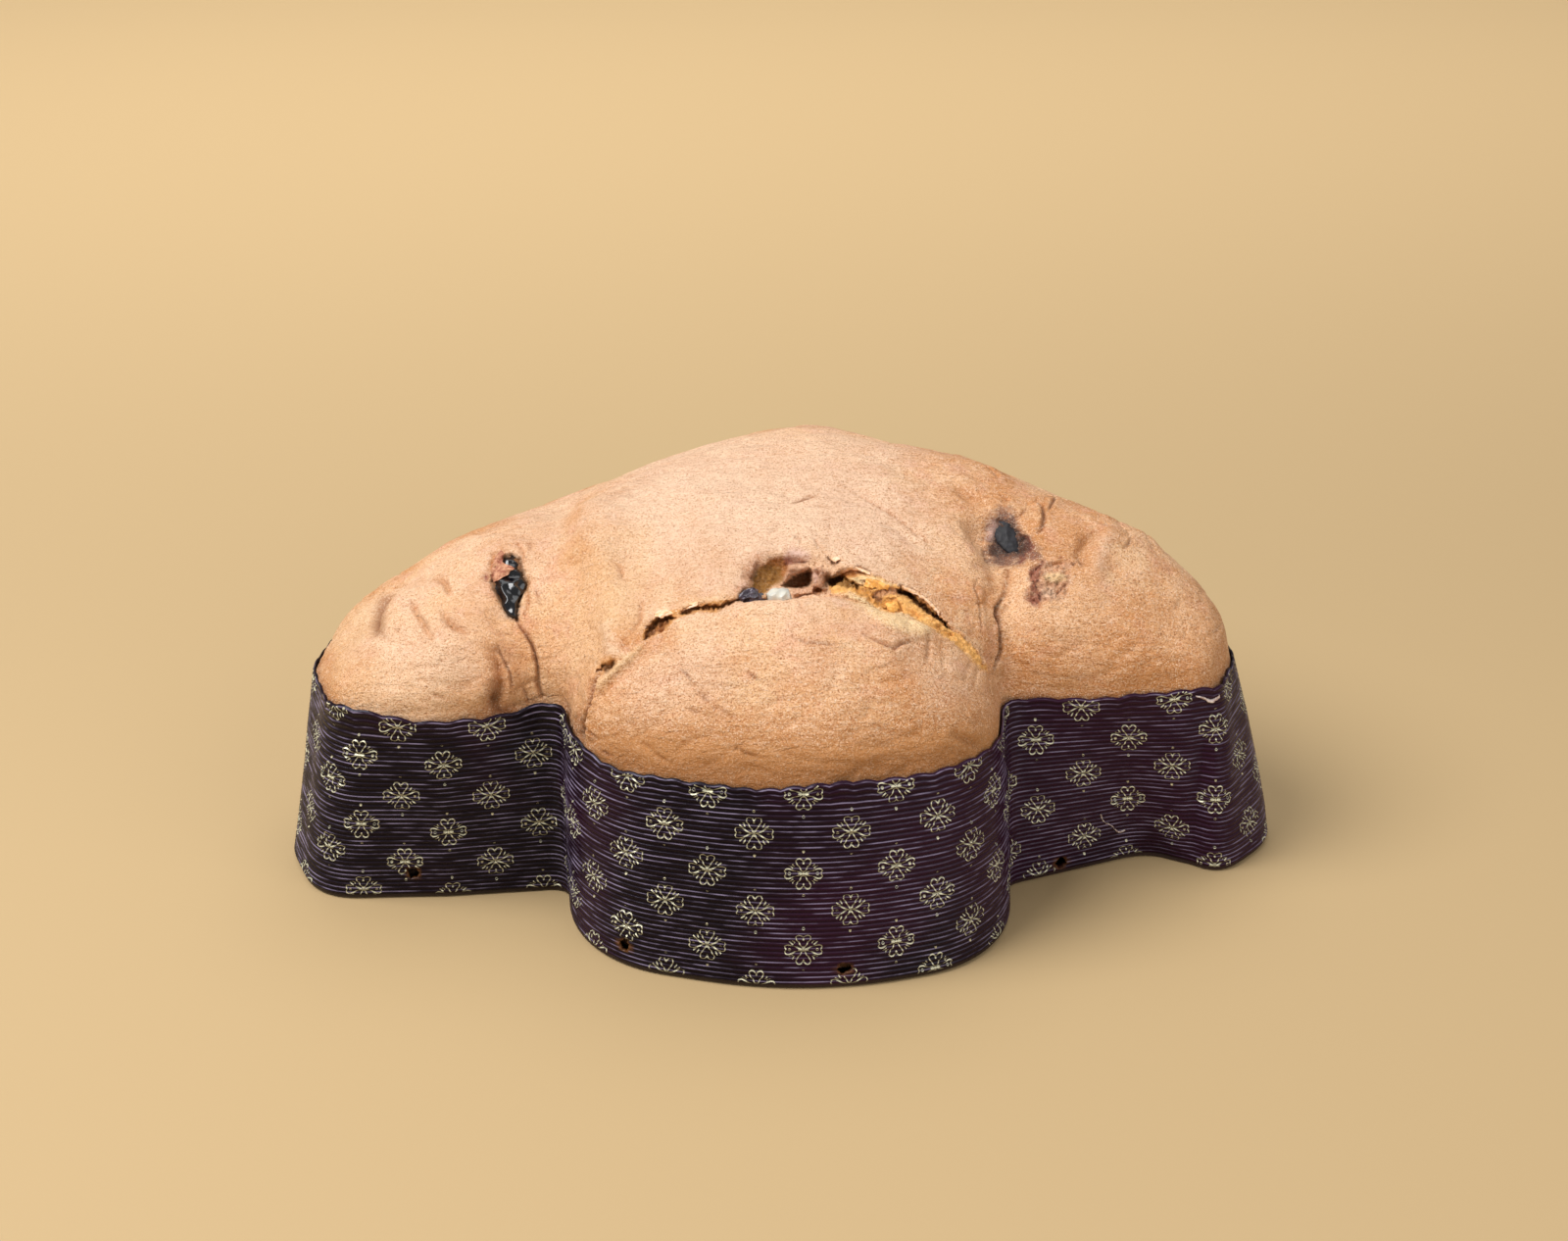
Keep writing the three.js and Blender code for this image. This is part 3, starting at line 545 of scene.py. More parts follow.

# The torn places, from the bottom layer up: finish; depth away from the lens (below zero is towards it);
# how uneven the place is; how soft its outline is, in pixels; cover; how far the outline wanders, in
# pixels; and the outline. The darkest places, deep in the split and the crater and under the raisin, are
# painted shade; a few lighter patches by the sunk raisin and in the crater are painted highlights.
TORN_PLACES = [
    ("rosy", -0.3, 0.1, 7, 0.35, 1.2,
     [(812, 622), (850, 632), (900, 644), (925, 652), (912, 666), (880, 656), (840, 645), (812, 634)]),
    ("pale_and_highlight", -0.6, 0.1, 5, 0.85, 1.2,
     [(862, 608), (872, 607), (884, 611), (893, 620), (903, 627), (918, 626), (932, 632), (947, 640),
      (948, 648), (938, 652), (920, 650), (905, 645), (893, 634), (882, 624), (866, 616)]),
    ("crumb", 1.0, 0.25, 1.6, 1.0, 1.2,
     [(846, 592), (862, 584), (880, 586), (897, 591), (915, 599), (930, 604), (944, 615), (958, 628),
      (970, 640), (985, 651), (999, 668), (1008, 686), (999, 682), (986, 668), (970, 656), (952, 646),
      (935, 636), (920, 628), (904, 629), (893, 622), (882, 612), (866, 608), (848, 608)]),
    ("rust", 1.4, 0.3, 1.4, 0.75, 1.2,
     [(916, 599), (928, 602), (941, 609), (952, 618), (961, 629), (953, 627), (942, 620), (931, 611),
      (919, 605)]),
    ("pale_and_highlight", 0.2, 0.4, 1.4, 0.8, 1.2,
     [(866, 591), (880, 588), (895, 592), (912, 599), (905, 602), (890, 599), (878, 599), (870, 597)]),
    ("ochre", 0.9, 0.3, 1.5, 0.9, 1.2,
     [(868, 604), (884, 603), (892, 604), (891, 613), (902, 612), (913, 612), (919, 619), (922, 626),
      (912, 626), (898, 622), (886, 614), (874, 609)]),
    ("stain", 1.6, 0.4, 1.4, 0.6, 1.2,
     [(889, 611), (892, 605), (898, 602), (909, 601), (918, 604), (919, 609), (908, 609), (897, 611)]),
    ("brown", 1.5, 0.3, 1.2, 0.9, 1.2, [(890, 611), (896, 610), (900, 612), (898, 616), (893, 614)]),
    ("brown", 1.0, 0.3, 1.0, 0.8, 1.2, [(877, 593), (884, 593), (884, 597), (879, 597)]),
    ("brown", 1.0, 0.3, 1.0, 0.8, 1.2, [(887, 596), (896, 596), (894, 599), (888, 599)]),
    ("ochre", 0.6, 0.4, 1.2, 0.9, 1.2, [(951, 640), (958, 640), (960, 645), (955, 647)]),
    ("ochre", 0.6, 0.4, 1.2, 0.9, 1.2, [(961, 646), (968, 645), (972, 650), (964, 652)]),
    ("shaded_hollow", 6.0, 0.3, 1.1, 1.0, 1.2,
     [(916, 604), (924, 604), (932, 610), (940, 617), (948, 624), (957, 630), (964, 635), (970, 641),
      (966, 641), (959, 636), (950, 630), (942, 625), (934, 618), (925, 612), (918, 608)]),
    ("inner", 5.0, 0.6, 1.2, 1.0, 1.2,
     [(844, 594), (852, 589), (858, 587), (863, 590), (868, 595), (874, 598), (881, 600), (874, 604),
      (862, 604), (851, 602)]),
    ("shaded_hollow", 2.0, 0.4, 1.6, 0.8, 1.2,
     [(846, 594), (853, 590), (860, 590), (863, 596), (858, 600), (849, 599)]),
    ("rust", 3.0, 0.2, 1.2, 0.95, 1.2,
     [(853, 590), (860, 584), (868, 581), (880, 582), (888, 585), (880, 588), (872, 590), (864, 590),
      (858, 589)]),
    ("brown", 1.6, 0.3, 1.0, 0.95, 1.2,
     [(845, 570), (849, 572), (853, 573), (857, 571), (856, 575), (851, 577), (847, 574)]),
    ("stain", 0.0, 0.3, 4, 0.3, 1.2,
     [(750, 604), (755, 590), (762, 575), (772, 566), (784, 565), (772, 576), (768, 588), (762, 601)]),
    ("inner", 1.4, 0.4, 1.5, 1.0, 1.2,
     [(760, 606), (765, 599), (768, 591), (771, 583), (775, 578), (781, 576), (784, 571), (792, 570),
      (799, 568), (803, 577), (802, 586), (799, 593), (795, 597), (788, 600), (782, 605), (772, 608)]),
    ("rust", 0.2, 0.4, 2.0, 0.8, 1.2,
     [(782, 575), (788, 571), (799, 568), (805, 574), (804, 583), (801, 590), (796, 588), (797, 579),
      (788, 578)]),
    ("lilac_and_highlight", -0.4, 0.3, 3, 0.8, 1.2,
     [(800, 566), (807, 561), (818, 562), (828, 566), (826, 571), (815, 571), (806, 569), (800, 570)]),
    ("ruby", 1.4, 0.3, 1.6, 0.85, 1.2,
     [(799, 569), (806, 568), (812, 571), (824, 572), (822, 575), (812, 575), (806, 577), (800, 576)]),
    ("rosy", -3.0, 0.5, 2.5, 0.8, 1.2,
     [(804, 580), (812, 577), (824, 576), (832, 580), (824, 582), (815, 586), (807, 589), (802, 594),
      (798, 597), (800, 589)]),
    ("shaded_hollow", 4.0, 0.4, 1.4, 1.0, 1.2,
     [(798, 598), (803, 594), (808, 590), (815, 587), (821, 584), (826, 582), (829, 585), (828, 590),
      (829, 595), (826, 599), (818, 600), (808, 601), (801, 600)]),
    ("rosy", -3.5, 0.8, 2.2, 0.85, 1.2,
     [(828, 584), (832, 579), (838, 578), (845, 583), (846, 590), (841, 594), (839, 599), (845, 603),
      (843, 608), (838, 602), (832, 600), (829, 604), (828, 597), (831, 591)]),
    ("lilac_and_highlight", -0.4, 0.5, 1.6, 0.6, 1.2, [(828, 586), (833, 583), (835, 590), (833, 597), (830, 592)]),
    ("shaded_hollow", 3.0, 0.4, 1.4, 0.9, 1.2, [(840, 587), (845, 586), (849, 591), (846, 597), (842, 594)]),
    ("rosy", -2.5, 0.4, 1.6, 0.7, 1.2,
     [(808, 602), (818, 601), (829, 601), (830, 607), (818, 609), (810, 609)]),
    ("rust", 1.4, 0.3, 1.3, 0.95, 1.2,
     [(830, 603), (835, 601), (841, 602), (843, 606), (838, 609), (831, 608)]),
    ("cream_and_painted_light", -0.5, 0.1, 3, 0.7, 1.2,
     [(698, 617), (712, 612), (728, 609), (741, 609), (741, 615), (728, 617), (712, 618), (700, 620)]),
    ("ochre", 0.3, 0.4, 2.0, 0.85, 1.2,
     [(656, 656), (657, 644), (663, 634), (672, 627), (684, 624), (696, 624), (704, 618), (724, 616),
      (740, 614), (752, 614), (740, 622), (732, 628), (712, 628), (700, 632), (690, 637), (683, 646),
      (670, 652)]),
    ("cinnamon", 3.5, 0.5, 1.3, 1.0, 1.6,
     [(659, 656), (660, 646), (662, 640), (667, 635), (671, 631), (676, 629), (684, 629), (690, 633),
      (684, 639), (682, 644), (676, 647), (668, 651)]),
    ("rust", -1.0, 0.4, 2.0, 0.7, 1.2, [(672, 642), (680, 638), (683, 643), (676, 648), (668, 650)]),
    ("cinnamon", 2.6, 0.4, 1.2, 0.95, 1.6,
     [(694, 630), (698, 624), (704, 621), (714, 620), (726, 620), (735, 620), (744, 616), (756, 612),
      (757, 615), (746, 620), (736, 625), (724, 625), (712, 625), (704, 629)]),
    ("ochre", 0.3, 0.3, 4.0, 0.8, 1.2,
     [(610, 684), (616, 675), (626, 672), (634, 674), (630, 684), (618, 688)]),
    ("shaded_hollow", 2.6, 0.3, 2.0, 0.9, 1.2,
     [(612, 686), (617, 680), (625, 679), (631, 677), (632, 681), (627, 685), (623, 689), (619, 685)]),
    ("cream_and_painted_light", -0.4, 0.2, 3.0, 0.7, 1.2,
     [(612, 692), (622, 688), (640, 672), (656, 660), (652, 668), (636, 682), (624, 696), (614, 706)]),
    ("rust", 0.4, 0.2, 3.0, 0.5, 1.2, [(622, 707), (624, 699), (630, 697), (630, 704)]),
    ("rust", 0.4, 0.2, 3.0, 0.45, 1.2, [(636, 668), (636, 656), (641, 650), (643, 662)]),
    ("brown", 1.5, 0.4, 5, 0.6, 1.2,
     [(578, 755), (580, 740), (588, 729), (598, 730), (600, 745), (592, 757)]),
    ("rust", 0.2, 0.1, 3, 0.55, 1.2,
     [(500, 592), (499, 580), (505, 564), (514, 557), (518, 566), (513, 572), (510, 584), (507, 594)]),
    ("shaded_hollow", 2.0, 0.1, 1.5, 1.0, 1.2,
     [(500, 594), (505, 580), (512, 568), (522, 565), (531, 570), (535, 584), (538, 596), (534, 608),
      (530, 614), (529, 631), (520, 631), (509, 614)]),
    ("umber", 0.8, 0.2, 5, 0.9, 6,
     [(1006, 545), (1010, 524), (1022, 516), (1036, 522), (1046, 540), (1060, 556), (1064, 570),
      (1040, 574), (1010, 572)]),
    # painted highlight: a lighter lavender patch on the left of the sunk raisin
    ("lilac_and_highlight", 0.0, 0.1, 3, 0.6, 2, [(1005, 545), (1009, 528), (1015, 524), (1017, 534), (1013, 546)]),
    ("ruby", 0.4, 0.3, 3, 0.85, 6,
     [(1034, 540), (1040, 540), (1048, 546), (1056, 556), (1056, 567), (1042, 570), (1034, 560)]),
    ("scorch", 0.8, 0.2, 5, 0.97, 4,
     [(1011, 557), (1014, 542), (1016, 528), (1028, 524), (1037, 532), (1042, 544), (1050, 556),
      (1048, 566), (1032, 566), (1016, 566)]),
    ("rosy", 0.3, 0.7, 3, 0.7, 6,
     [(1047, 596), (1051, 580), (1062, 574), (1084, 576), (1092, 580), (1090, 600), (1084, 612),
      (1068, 620), (1054, 620), (1046, 610)]),
    ("ruby", 0.3, 0.6, 2, 0.75, 5,
     [(1047, 598), (1050, 586), (1058, 576), (1064, 576), (1062, 588), (1057, 598), (1060, 608),
      (1062, 620), (1052, 616)]),
    # painted highlights: the two lighter patches inside the crater
    ("pale_and_highlight", -0.3, 0.7, 2.5, 0.7, 4,
     [(1063, 592), (1072, 586), (1084, 588), (1086, 595), (1078, 597), (1066, 598)]),
    ("bloom_and_highlight", -0.2, 0.5, 3, 0.5, 3, [(1062, 606), (1072, 603), (1080, 610), (1074, 616), (1064, 614)]),
    ("bake", 0.8, 0.2, 4, 0.7, 3,
     [(1099, 572), (1100, 556), (1108, 548), (1118, 546), (1114, 553), (1106, 560), (1104, 574)]),
]

# Broad rises (and dips, below zero): half width, height and path.
SWELLS = [
    (17, 2.6, [(1150, 556), (1205, 592), (1240, 640)]),
    (14, -1.8, [(345, 655), (380, 620)]),
    (24, 2.2, [(400, 660), (450, 650)]),
    (8.0, -2.6, [(530, 640), (545, 670), (560, 714)]),
    (5.0, 1.1, [(596, 545), (612, 580), (634, 655)]),
    (8, -0.9, [(652, 560), (656, 625)]),
    (16, 1.6, [(700, 500), (780, 545), (880, 560)]),
    (7, -2.2, [(1014, 545), (1022, 600), (1024, 690)]),
    (22, 2.0, [(1100, 650), (1150, 640)]),
    (9, 0.9, [(1068, 600), (1100, 600)]),
    (13, 2.0, [(700, 665), (800, 655), (900, 665)]),
    (10, 1.2, [(640, 720), (620, 740)]),
    (9, -1.2, [(1050, 490), (1040, 530)]),
    (4, 1.3, [(1160, 538), (1166, 540)]),
    (3.6, 2.0, [(1129, 552), (1116, 586)]),
    (4.2, 2.0, [(411, 616), (405, 638)]),
    (5.5, 1.4, [(444, 640), (456, 664)]),
    (7, 1.8, [(474, 660), (494, 692)]),
    (5, 1.2, [(484, 630), (500, 650)]),
    (5, 1.0, [(434, 604), (448, 624)]),
    (3.2, 1.6, [(622, 642), (630, 670)]),
    (4, 1.2, [(905, 640), (938, 646)]),
]

# Broad tones of the crust: finish, cover, how soft the outline is, in pixels, and the outline. Most are
# painted light and shade: the lighter ones are painted highlights on lit slopes and ridges and lift slopes
# that lie in shade; the darker ones over the tail's front and the right wing, and the brown one on the
# blister's left flank, are painted shade.
TONES = [
    ("bloom_and_highlight", 0.55, 45, [(400, 660), (460, 640), (490, 690), (440, 725), (390, 710)]),
    ("bloom_and_highlight", 0.55, 60, [(660, 460), (900, 465), (930, 560), (760, 580), (640, 540)]),
    ("tan", 0.5, 45, [(1080, 640), (1240, 620), (1250, 700), (1080, 705)]),
    ("tan", 0.6, 45, [(620, 740), (800, 745), (1010, 720), (1010, 790), (640, 800)]),
    ("peach", 0.5, 30, [(1040, 575), (1110, 600), (1120, 640), (1040, 640)]),
    ("bloom_and_highlight", 0.4, 30, [(640, 680), (720, 660), (740, 700), (650, 730)]),
    ("bake", 0.4, 60, [(640, 750), (800, 752), (1000, 728), (1010, 790), (900, 812), (700, 812)]),
    ("bake", 0.8, 38,
     [(615, 755), (700, 772), (800, 782), (900, 778), (1005, 750), (1010, 790), (900, 812), (700, 812)]),
    ("bloom_and_highlight", 0.25, 45, [(950, 670), (985, 682), (995, 712), (956, 716)]),
    ("cream_and_painted_light", 0.45, 24, [(345, 690), (420, 690), (490, 712), (470, 738), (360, 722)]),
    # painted shade: the blister's dark left flank
    ("brown", 0.6, 7, [(393, 606), (400, 616), (396, 632), (395, 652), (386, 650), (382, 630), (386, 612)]),
    ("cream_and_painted_light", 0.6, 16, [(332, 650), (368, 612), (386, 640), (346, 676)]),
    ("cream_and_painted_light", 0.5, 16, [(606, 540), (660, 540), (650, 640), (620, 640)]),
    ("bloom_and_highlight", 0.6, 8, [(616, 640), (624, 640), (634, 672), (626, 676)]),
    ("bloom_and_highlight", 0.5, 10, [(1122, 556), (1132, 556), (1122, 588), (1112, 588)]),
    ("cream_and_painted_light", 0.6, 14, [(526, 716), (532, 690), (545, 676), (560, 696), (566, 720)]),
    ("cream_and_painted_light", 0.5, 20, [(590, 560), (640, 590), (620, 680), (585, 690)]),
]

# The lower lip at the middle of the split, which stands higher in the picture by LIP_LIFT millimetres.
LIFTED_LIP = [(768, 621), (790, 620), (840, 620), (862, 616)]
LIP_WIDTH = 4.5
LIP_LIFT = 1.5

# The edge of the split's lower lip, from left to right.
SPLIT_LIP = [(600, 744), (604, 730), (610, 704), (622, 687), (640, 667), (661, 654), (682, 645),
             (701, 631), (731, 624), (753, 614), (780, 615), (805, 614), (835, 609), (860, 610),
             (884, 614), (906, 622), (927, 628), (949, 637), (967, 651), (988, 667), (1004, 680),
             (1011, 690)]
LEFT_RAISIN = (519, 600)
SCORCH = (1029, 547)
CRATER = (1066, 598)
STEEP_GRAIN = [(545, 560), (600, 520), (650, 560), (668, 620), (640, 668), (600, 720), (560, 700)]


def refined_near(mesh, places, reach, spacing):
    """Halves the mesh's edges within a distance of some places, where they are longer than the spacing."""
    bm = bmesh.new()
    bm.from_mesh(mesh)
    points = np.array([vert.co[:] for vert in bm.verts])
    away = np.full(len(points), np.inf)
    for path in places:
        away = np.minimum(away, near_path(points, path, reach)[0])
    near = {vert for vert, gap in zip(bm.verts, away) if gap < reach}
    edges = [edge for edge in bm.edges if edge.verts[0] in near and edge.verts[1] in near]
    edges = [edge for edge in edges if edge.calc_length() > spacing]
    bmesh.ops.subdivide_edges(bm, edges=edges, cuts=1, use_grid_fill=True)
    return mesh_from(bm, "crust")


def grouped(mesh, **groups):
    """An object that holds the mesh, with a vertex group for each named array of weights."""
    holder = bpy.data.objects.new("groups", mesh)
    for name, weights in groups.items():
        group = holder.vertex_groups.new(name=name)
        tenths = np.round(weights * 10).astype(int)
        for step in range(11):
            group.add(np.nonzero(tenths == step)[0].tolist(), step / 10, "REPLACE")
    return holder


PLUG_GROWTH = 1.25
PLUG_DEPTH = 1.5 * MM


def plug(bm, node, middle, beside):
    """Fills a raisin's socket with a larger copy of it, sunk until level with the crust beside it."""
    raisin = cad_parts[node]
    behind = depth_at(CRUST_TREE, *beside) - depth_at(tree_of(raisin), middle)
    lump = welded_copy(node)
    centre = sum((vert.co for vert in lump.verts), Vector()) / len(lump.verts)
    larger = Matrix.Translation(centre) @ Matrix.Scale(PLUG_GROWTH, 4) @ Matrix.Translation(-centre)
    lump.transform(Matrix.Translation(sight_line(*middle) * (max(0.0, behind) + PLUG_DEPTH)) @ larger)
    bm.from_mesh(mesh_from(lump, "plug"))


COARSE_BELOW = 59 * MM  # the case hides the crust's mesh below this
COARSE_FACING = 0.15  # and the cake itself hides what faces away from the lens by more than this
HIDDEN_KEPT = 0.05  # share of the hidden mesh that is kept
BEHIND_KEPT = 0.35
FINE_EDGE = 0.9 * MM
FINEST_EDGE = 0.48 * MM


def crust_mesh(settings):
    """The cake remeshed finely where it shows, with the facets smoothed away."""
    whole = welded_copy("cake")
    plug(whole, "raisin_left", LEFT_RAISIN, ((492, 600), (546, 600)))
    plug(whole, "raisin_right", SCORCH, ((1000, 547), (1062, 547)))
    solid = bpy.data.objects.new("solid", mesh_from(whole, "crust"))
    fine = with_modifiers(solid, ("REMESH", {"mode": "VOXEL", "voxel_size": settings.mesh_size}))
    points = positions(fine)
    sight = points - np.array(EYE)
    facing = (sight * normals(fine)).sum(1) / np.linalg.norm(sight, axis=1)
    hidden = points[:, 2] < COARSE_BELOW
    behind = (facing > COARSE_FACING) & ~hidden
    left = 1 - (1 - HIDDEN_KEPT) * hidden.mean()
    shaped = with_modifiers(
        grouped(fine, hidden=hidden.astype(float), behind=behind.astype(float)),
        ("SMOOTH", {"factor": 0.5, "iterations": 20}),
        ("DECIMATE", {"ratio": left, "vertex_group": "hidden"}),
        ("DECIMATE", {"ratio": 1 - (1 - BEHIND_KEPT) * behind.mean() / left, "vertex_group": "behind"}),
    )
    spots = [on_crust(*spot) for spot in (LEFT_RAISIN, SCORCH, CRATER)]
    spots = [[spot, spot + Vector((0, 0, MM))] for spot in spots]
    lip = [on_crust(*p) for p in SPLIT_LIP]
    sharp = [[on_crust(*p) for p in path] for _, width, _, _, path in CREASES if width < 1]
    for places, reach, spacing in (
        ([lip] + spots, 8 * MM, FINE_EDGE),
        (sharp, 2.2 * MM, FINE_EDGE),
        ([lip], 4.5 * MM, FINEST_EDGE),
        (sharp, 1.0 * MM, FINEST_EDGE),
    ):
        shaped = refined_near(shaped, places, reach, spacing)
    return shaped


# Where the paper's rim meets the crust, pairs of heights between which something fades in.
DIPS_FROM = (60 * MM, 66 * MM)
RISES_FROM = (64.5 * MM, 72 * MM)  # higher up than the dips, so that no rise comes through the paper
TIGHT_BELOW, TIGHT_ABOVE = (69 * MM, 65 * MM), (56 * MM, 60 * MM)
SUNK_BELOW = (62.5 * MM, 58.5 * MM)
SEEN_ABOVE = 60 * MM
SEEN_FACING = 0.4  # what faces away from the lens by less than this is shaped and painted by its pixel
TIGHT_BY = 0.45  # millimetres that the crust swells against the paper
SUNK_BY = 1.8  # millimetres that it shrinks from the paper that hides it
CRUST_EDGE = 64 * MM  # the darker finishes near the rim are measured from here

# The right-hand end leans in with the paper: how far, from where to where across, up, and back over the rim.
LEAN = 3.2 * MM
LEAN_ACROSS, LEAN_UP, LEAN_BELOW = (118 * MM, 143 * MM), (8 * MM, 65 * MM), (86 * MM, 68 * MM)


class Crust:
    """The crust's points while they are shaped: how far each is raised and pushed, and its finish."""

    def __init__(self, mesh, settings):
        self.settings = settings
        self.points = positions(mesh)
        self.height = self.points[:, 2]
        self.outward = normals(mesh)
        self.u, self.v = pixels_of(self.points)
        self.sight = self.points - np.array(EYE)
        away_from_lens = (self.sight * self.outward).sum(1) / np.linalg.norm(self.sight, axis=1)
        self.seen = (away_from_lens < SEEN_FACING) & (self.height > SEEN_ABOVE)
        self.raised = np.zeros(len(self.points))
        self.pushed = np.zeros(len(self.points))
        self.paint = np.zeros((len(self.points), 4))

    def brush(self, mask, finish):
        """Covers the places that a mask, 0 to 1, picks out with a finish."""
        colour = np.array(getattr(self.settings, finish))
        self.paint[:, :3] += (colour - self.paint[:, :3]) * mask[:, None]
        self.paint[:, 3] += (1 - self.paint[:, 3]) * mask

    def near(self, path, reach):
        """Distance to a path over the crust, and how far along it, for points within reach millimetres."""
        return near_path(self.points, [on_crust(*p) for p in path], reach * MM)

    def lump(self):
        """Raises the crust's own lumps, with wrinkles between them that run across the cake."""
        self.raised += 0.9 * MM * cloud(self.points, 26 * MM, 2, 1)
        self.raised += 0.4 * MM * cloud(self.points * (0.5, 1, 1), 7 * MM, 3, 2)
        wrinkles = np.abs(cloud(self.points * (0.45, 1, 1), 7 * MM, 1, 9))
        self.raised -= 0.5 * MM * smoothstep(0.16, 0.0, wrinkles)

    def bake(self):
        """Paints the broad tones: a painted highlight where the crust faces up on the left, darker towards
        the rim.
        """
        drift = cloud(self.points, 18 * MM, 2, 3)
        above = self.height - CRUST_EDGE
        # painted highlight: the crust that faces up, on the left where the key light falls, is painted paler
        level = smoothstep(0.80, 0.98, self.outward[:, 2] + 0.12 * drift)
        self.brush(0.4 * level * smoothstep(70 * MM, 20 * MM, self.points[:, 0]), "bloom_and_highlight")
        self.brush(0.45 * smoothstep(20 * MM, 2 * MM, above + 6 * MM * drift), "bake")
        # partly painted shade: the steep front of the tail is painted darker near the rim, besides the
        # crust's own browning
        tail_front = smoothstep(-74 * MM, -88 * MM, self.points[:, 1])
        self.brush(0.8 * tail_front * smoothstep(20 * MM, 3 * MM, above + 3 * MM * drift), "bake")
        self.brush(0.6 * smoothstep(4 * MM, 1 * MM, above + 1.5 * MM * drift), "brown")
        # painted shade: the crust hidden behind the paper is painted near black, to show dark through the
        # skewer holes
        self.brush(smoothstep(50 * MM, 40 * MM, self.height), "scorch")  # shows through the holes only
        # mostly painted light and shade, as TONES lists
        for finish, cover, edge, outline in TONES:
            inside = inside_outline(self.u, self.v, outline) + 0.3 * edge * drift
            self.brush(cover * smoothstep(-edge, 0.5 * edge, inside) * self.seen, finish)
        # partly painted shade: the darkest tone, at the rim of the tail's front
        self.brush(0.7 * tail_front * smoothstep(12 * MM, 0, above + 3 * MM * drift), "toast_and_shade")

    def crease(self):
        """Raises the swells, and presses the creases in between shoulders of their own."""
        for width, height, path in SWELLS:
            away, _ = self.near(path, 3 * width)
            self.raised += height * MM * bell(away, width)
        for finish, width, depth, cover, path in CREASES:
            away, along = self.near(path, 5 * width)
            fade = np.sin(math.pi * np.clip(along, 0.06, 0.94)) ** 0.4
            pressed = bell(away, width) * fade
            shoulder = np.exp(-((away / (2.2 * width * MM) - 1) ** 2) * 2)
            self.raised -= depth * MM * pressed
            self.raised += 0.3 * depth * MM * shoulder * fade
            # partly painted shade: each crease is painted with its finish, which stands partly for the dark
            # of its own shadow
            self.brush(cover * pressed, finish)

    def tear(self):
        """Tears the split, the crater and the raisins' sockets open, layer by layer."""
        lip_away, _ = distance_to_path(self.points, [on_crust(*p) for p in SPLIT_LIP])
        near = lip_away < 14 * MM
        for (u, v), reach in ((SCORCH, 70), (CRATER, 50), (LEFT_RAISIN, 60)):
            near |= np.hypot(self.u - u, self.v - v) < reach
        near = np.nonzero(self.seen & near)[0]
        swirl, ragged, grainy = (np.zeros(len(self.points)) for _ in range(3))
        for field, size, seed in ((swirl, 3, 6), (ragged, 1.6, 4), (grainy, 0.9, 5)):
            field[near] = cloud(self.points[near], size * MM, 3, seed)
        self.raised += 0.7 * MM * bell(lip_away, 3.2) * (1 + 0.7 * ragged)
        for finish, depth, rough, edge, cover, wander, outline in TORN_PLACES:
            frayed = ragged if wander < 2 else swirl + 0.5 * ragged
            inside = inside_outline(self.u, self.v, outline) + wander * frayed
            mask = smoothstep(-edge, edge, inside) * self.seen
            self.raised += mask * MM * rough * grainy * 1.6
            self.pushed += mask * MM * depth
            # the darkest finishes painted here are painted shade, and a few lighter patches by the raisin
            # and in the crater are painted highlights
            self.brush(cover * mask, finish)

    def moved(self):
        """Where the points end up: tight against the paper's rim, clear of it below, leaning in with it."""
        height = self.height
        above_rim = smoothstep(*DIPS_FROM, height)
        tight = smoothstep(*TIGHT_BELOW, height) * smoothstep(*TIGHT_ABOVE, height)
        sunk = smoothstep(*SUNK_BELOW, height)
        raised = self.raised * np.where(self.raised > 0, smoothstep(*RISES_FROM, height), above_rim)
        moved = self.points + self.outward * (raised + MM * (TIGHT_BY * tight - SUNK_BY * sunk))[:, None]
        moved += self.sight / np.linalg.norm(self.sight, axis=1)[:, None] * self.pushed[:, None]
        away, _ = self.near(LIFTED_LIP, 3 * LIP_WIDTH)
        moved += (bell(away, LIP_WIDTH) * above_rim)[:, None] * np.array(UPWARD * LIP_LIFT) * MM
        leaning = smoothstep(*LEAN_ACROSS, self.points[:, 0]) * smoothstep(*LEAN_UP, height)
        moved[:, 0] -= LEAN * leaning * smoothstep(*LEAN_BELOW, height)
        return moved

    def store(self, mesh):
        """Moves the mesh, and stores its paint and where its grain runs downhill or is coarse."""
        move_to(mesh, self.moved())
        self.paint[:, :3] /= np.maximum(self.paint[:, 3:], 1e-6)
        layer = mesh.color_attributes.new("paint", "FLOAT_COLOR", "POINT")
        layer.data.foreach_set("color", self.paint.astype(np.float32).ravel())
        downhill = smoothstep(-25, 15, inside_outline(self.u, self.v, STEEP_GRAIN)) * self.seen
        set_point_value(mesh, "downhill", downhill)
        rightward, tailward = self.points[:, 0], self.points[:, 1]
        coarse = np.maximum(smoothstep(0, 50 * MM, rightward), smoothstep(-50 * MM, -80 * MM, tailward))
        set_point_value(mesh, "coarse", 0.85 + 0.3 * coarse)


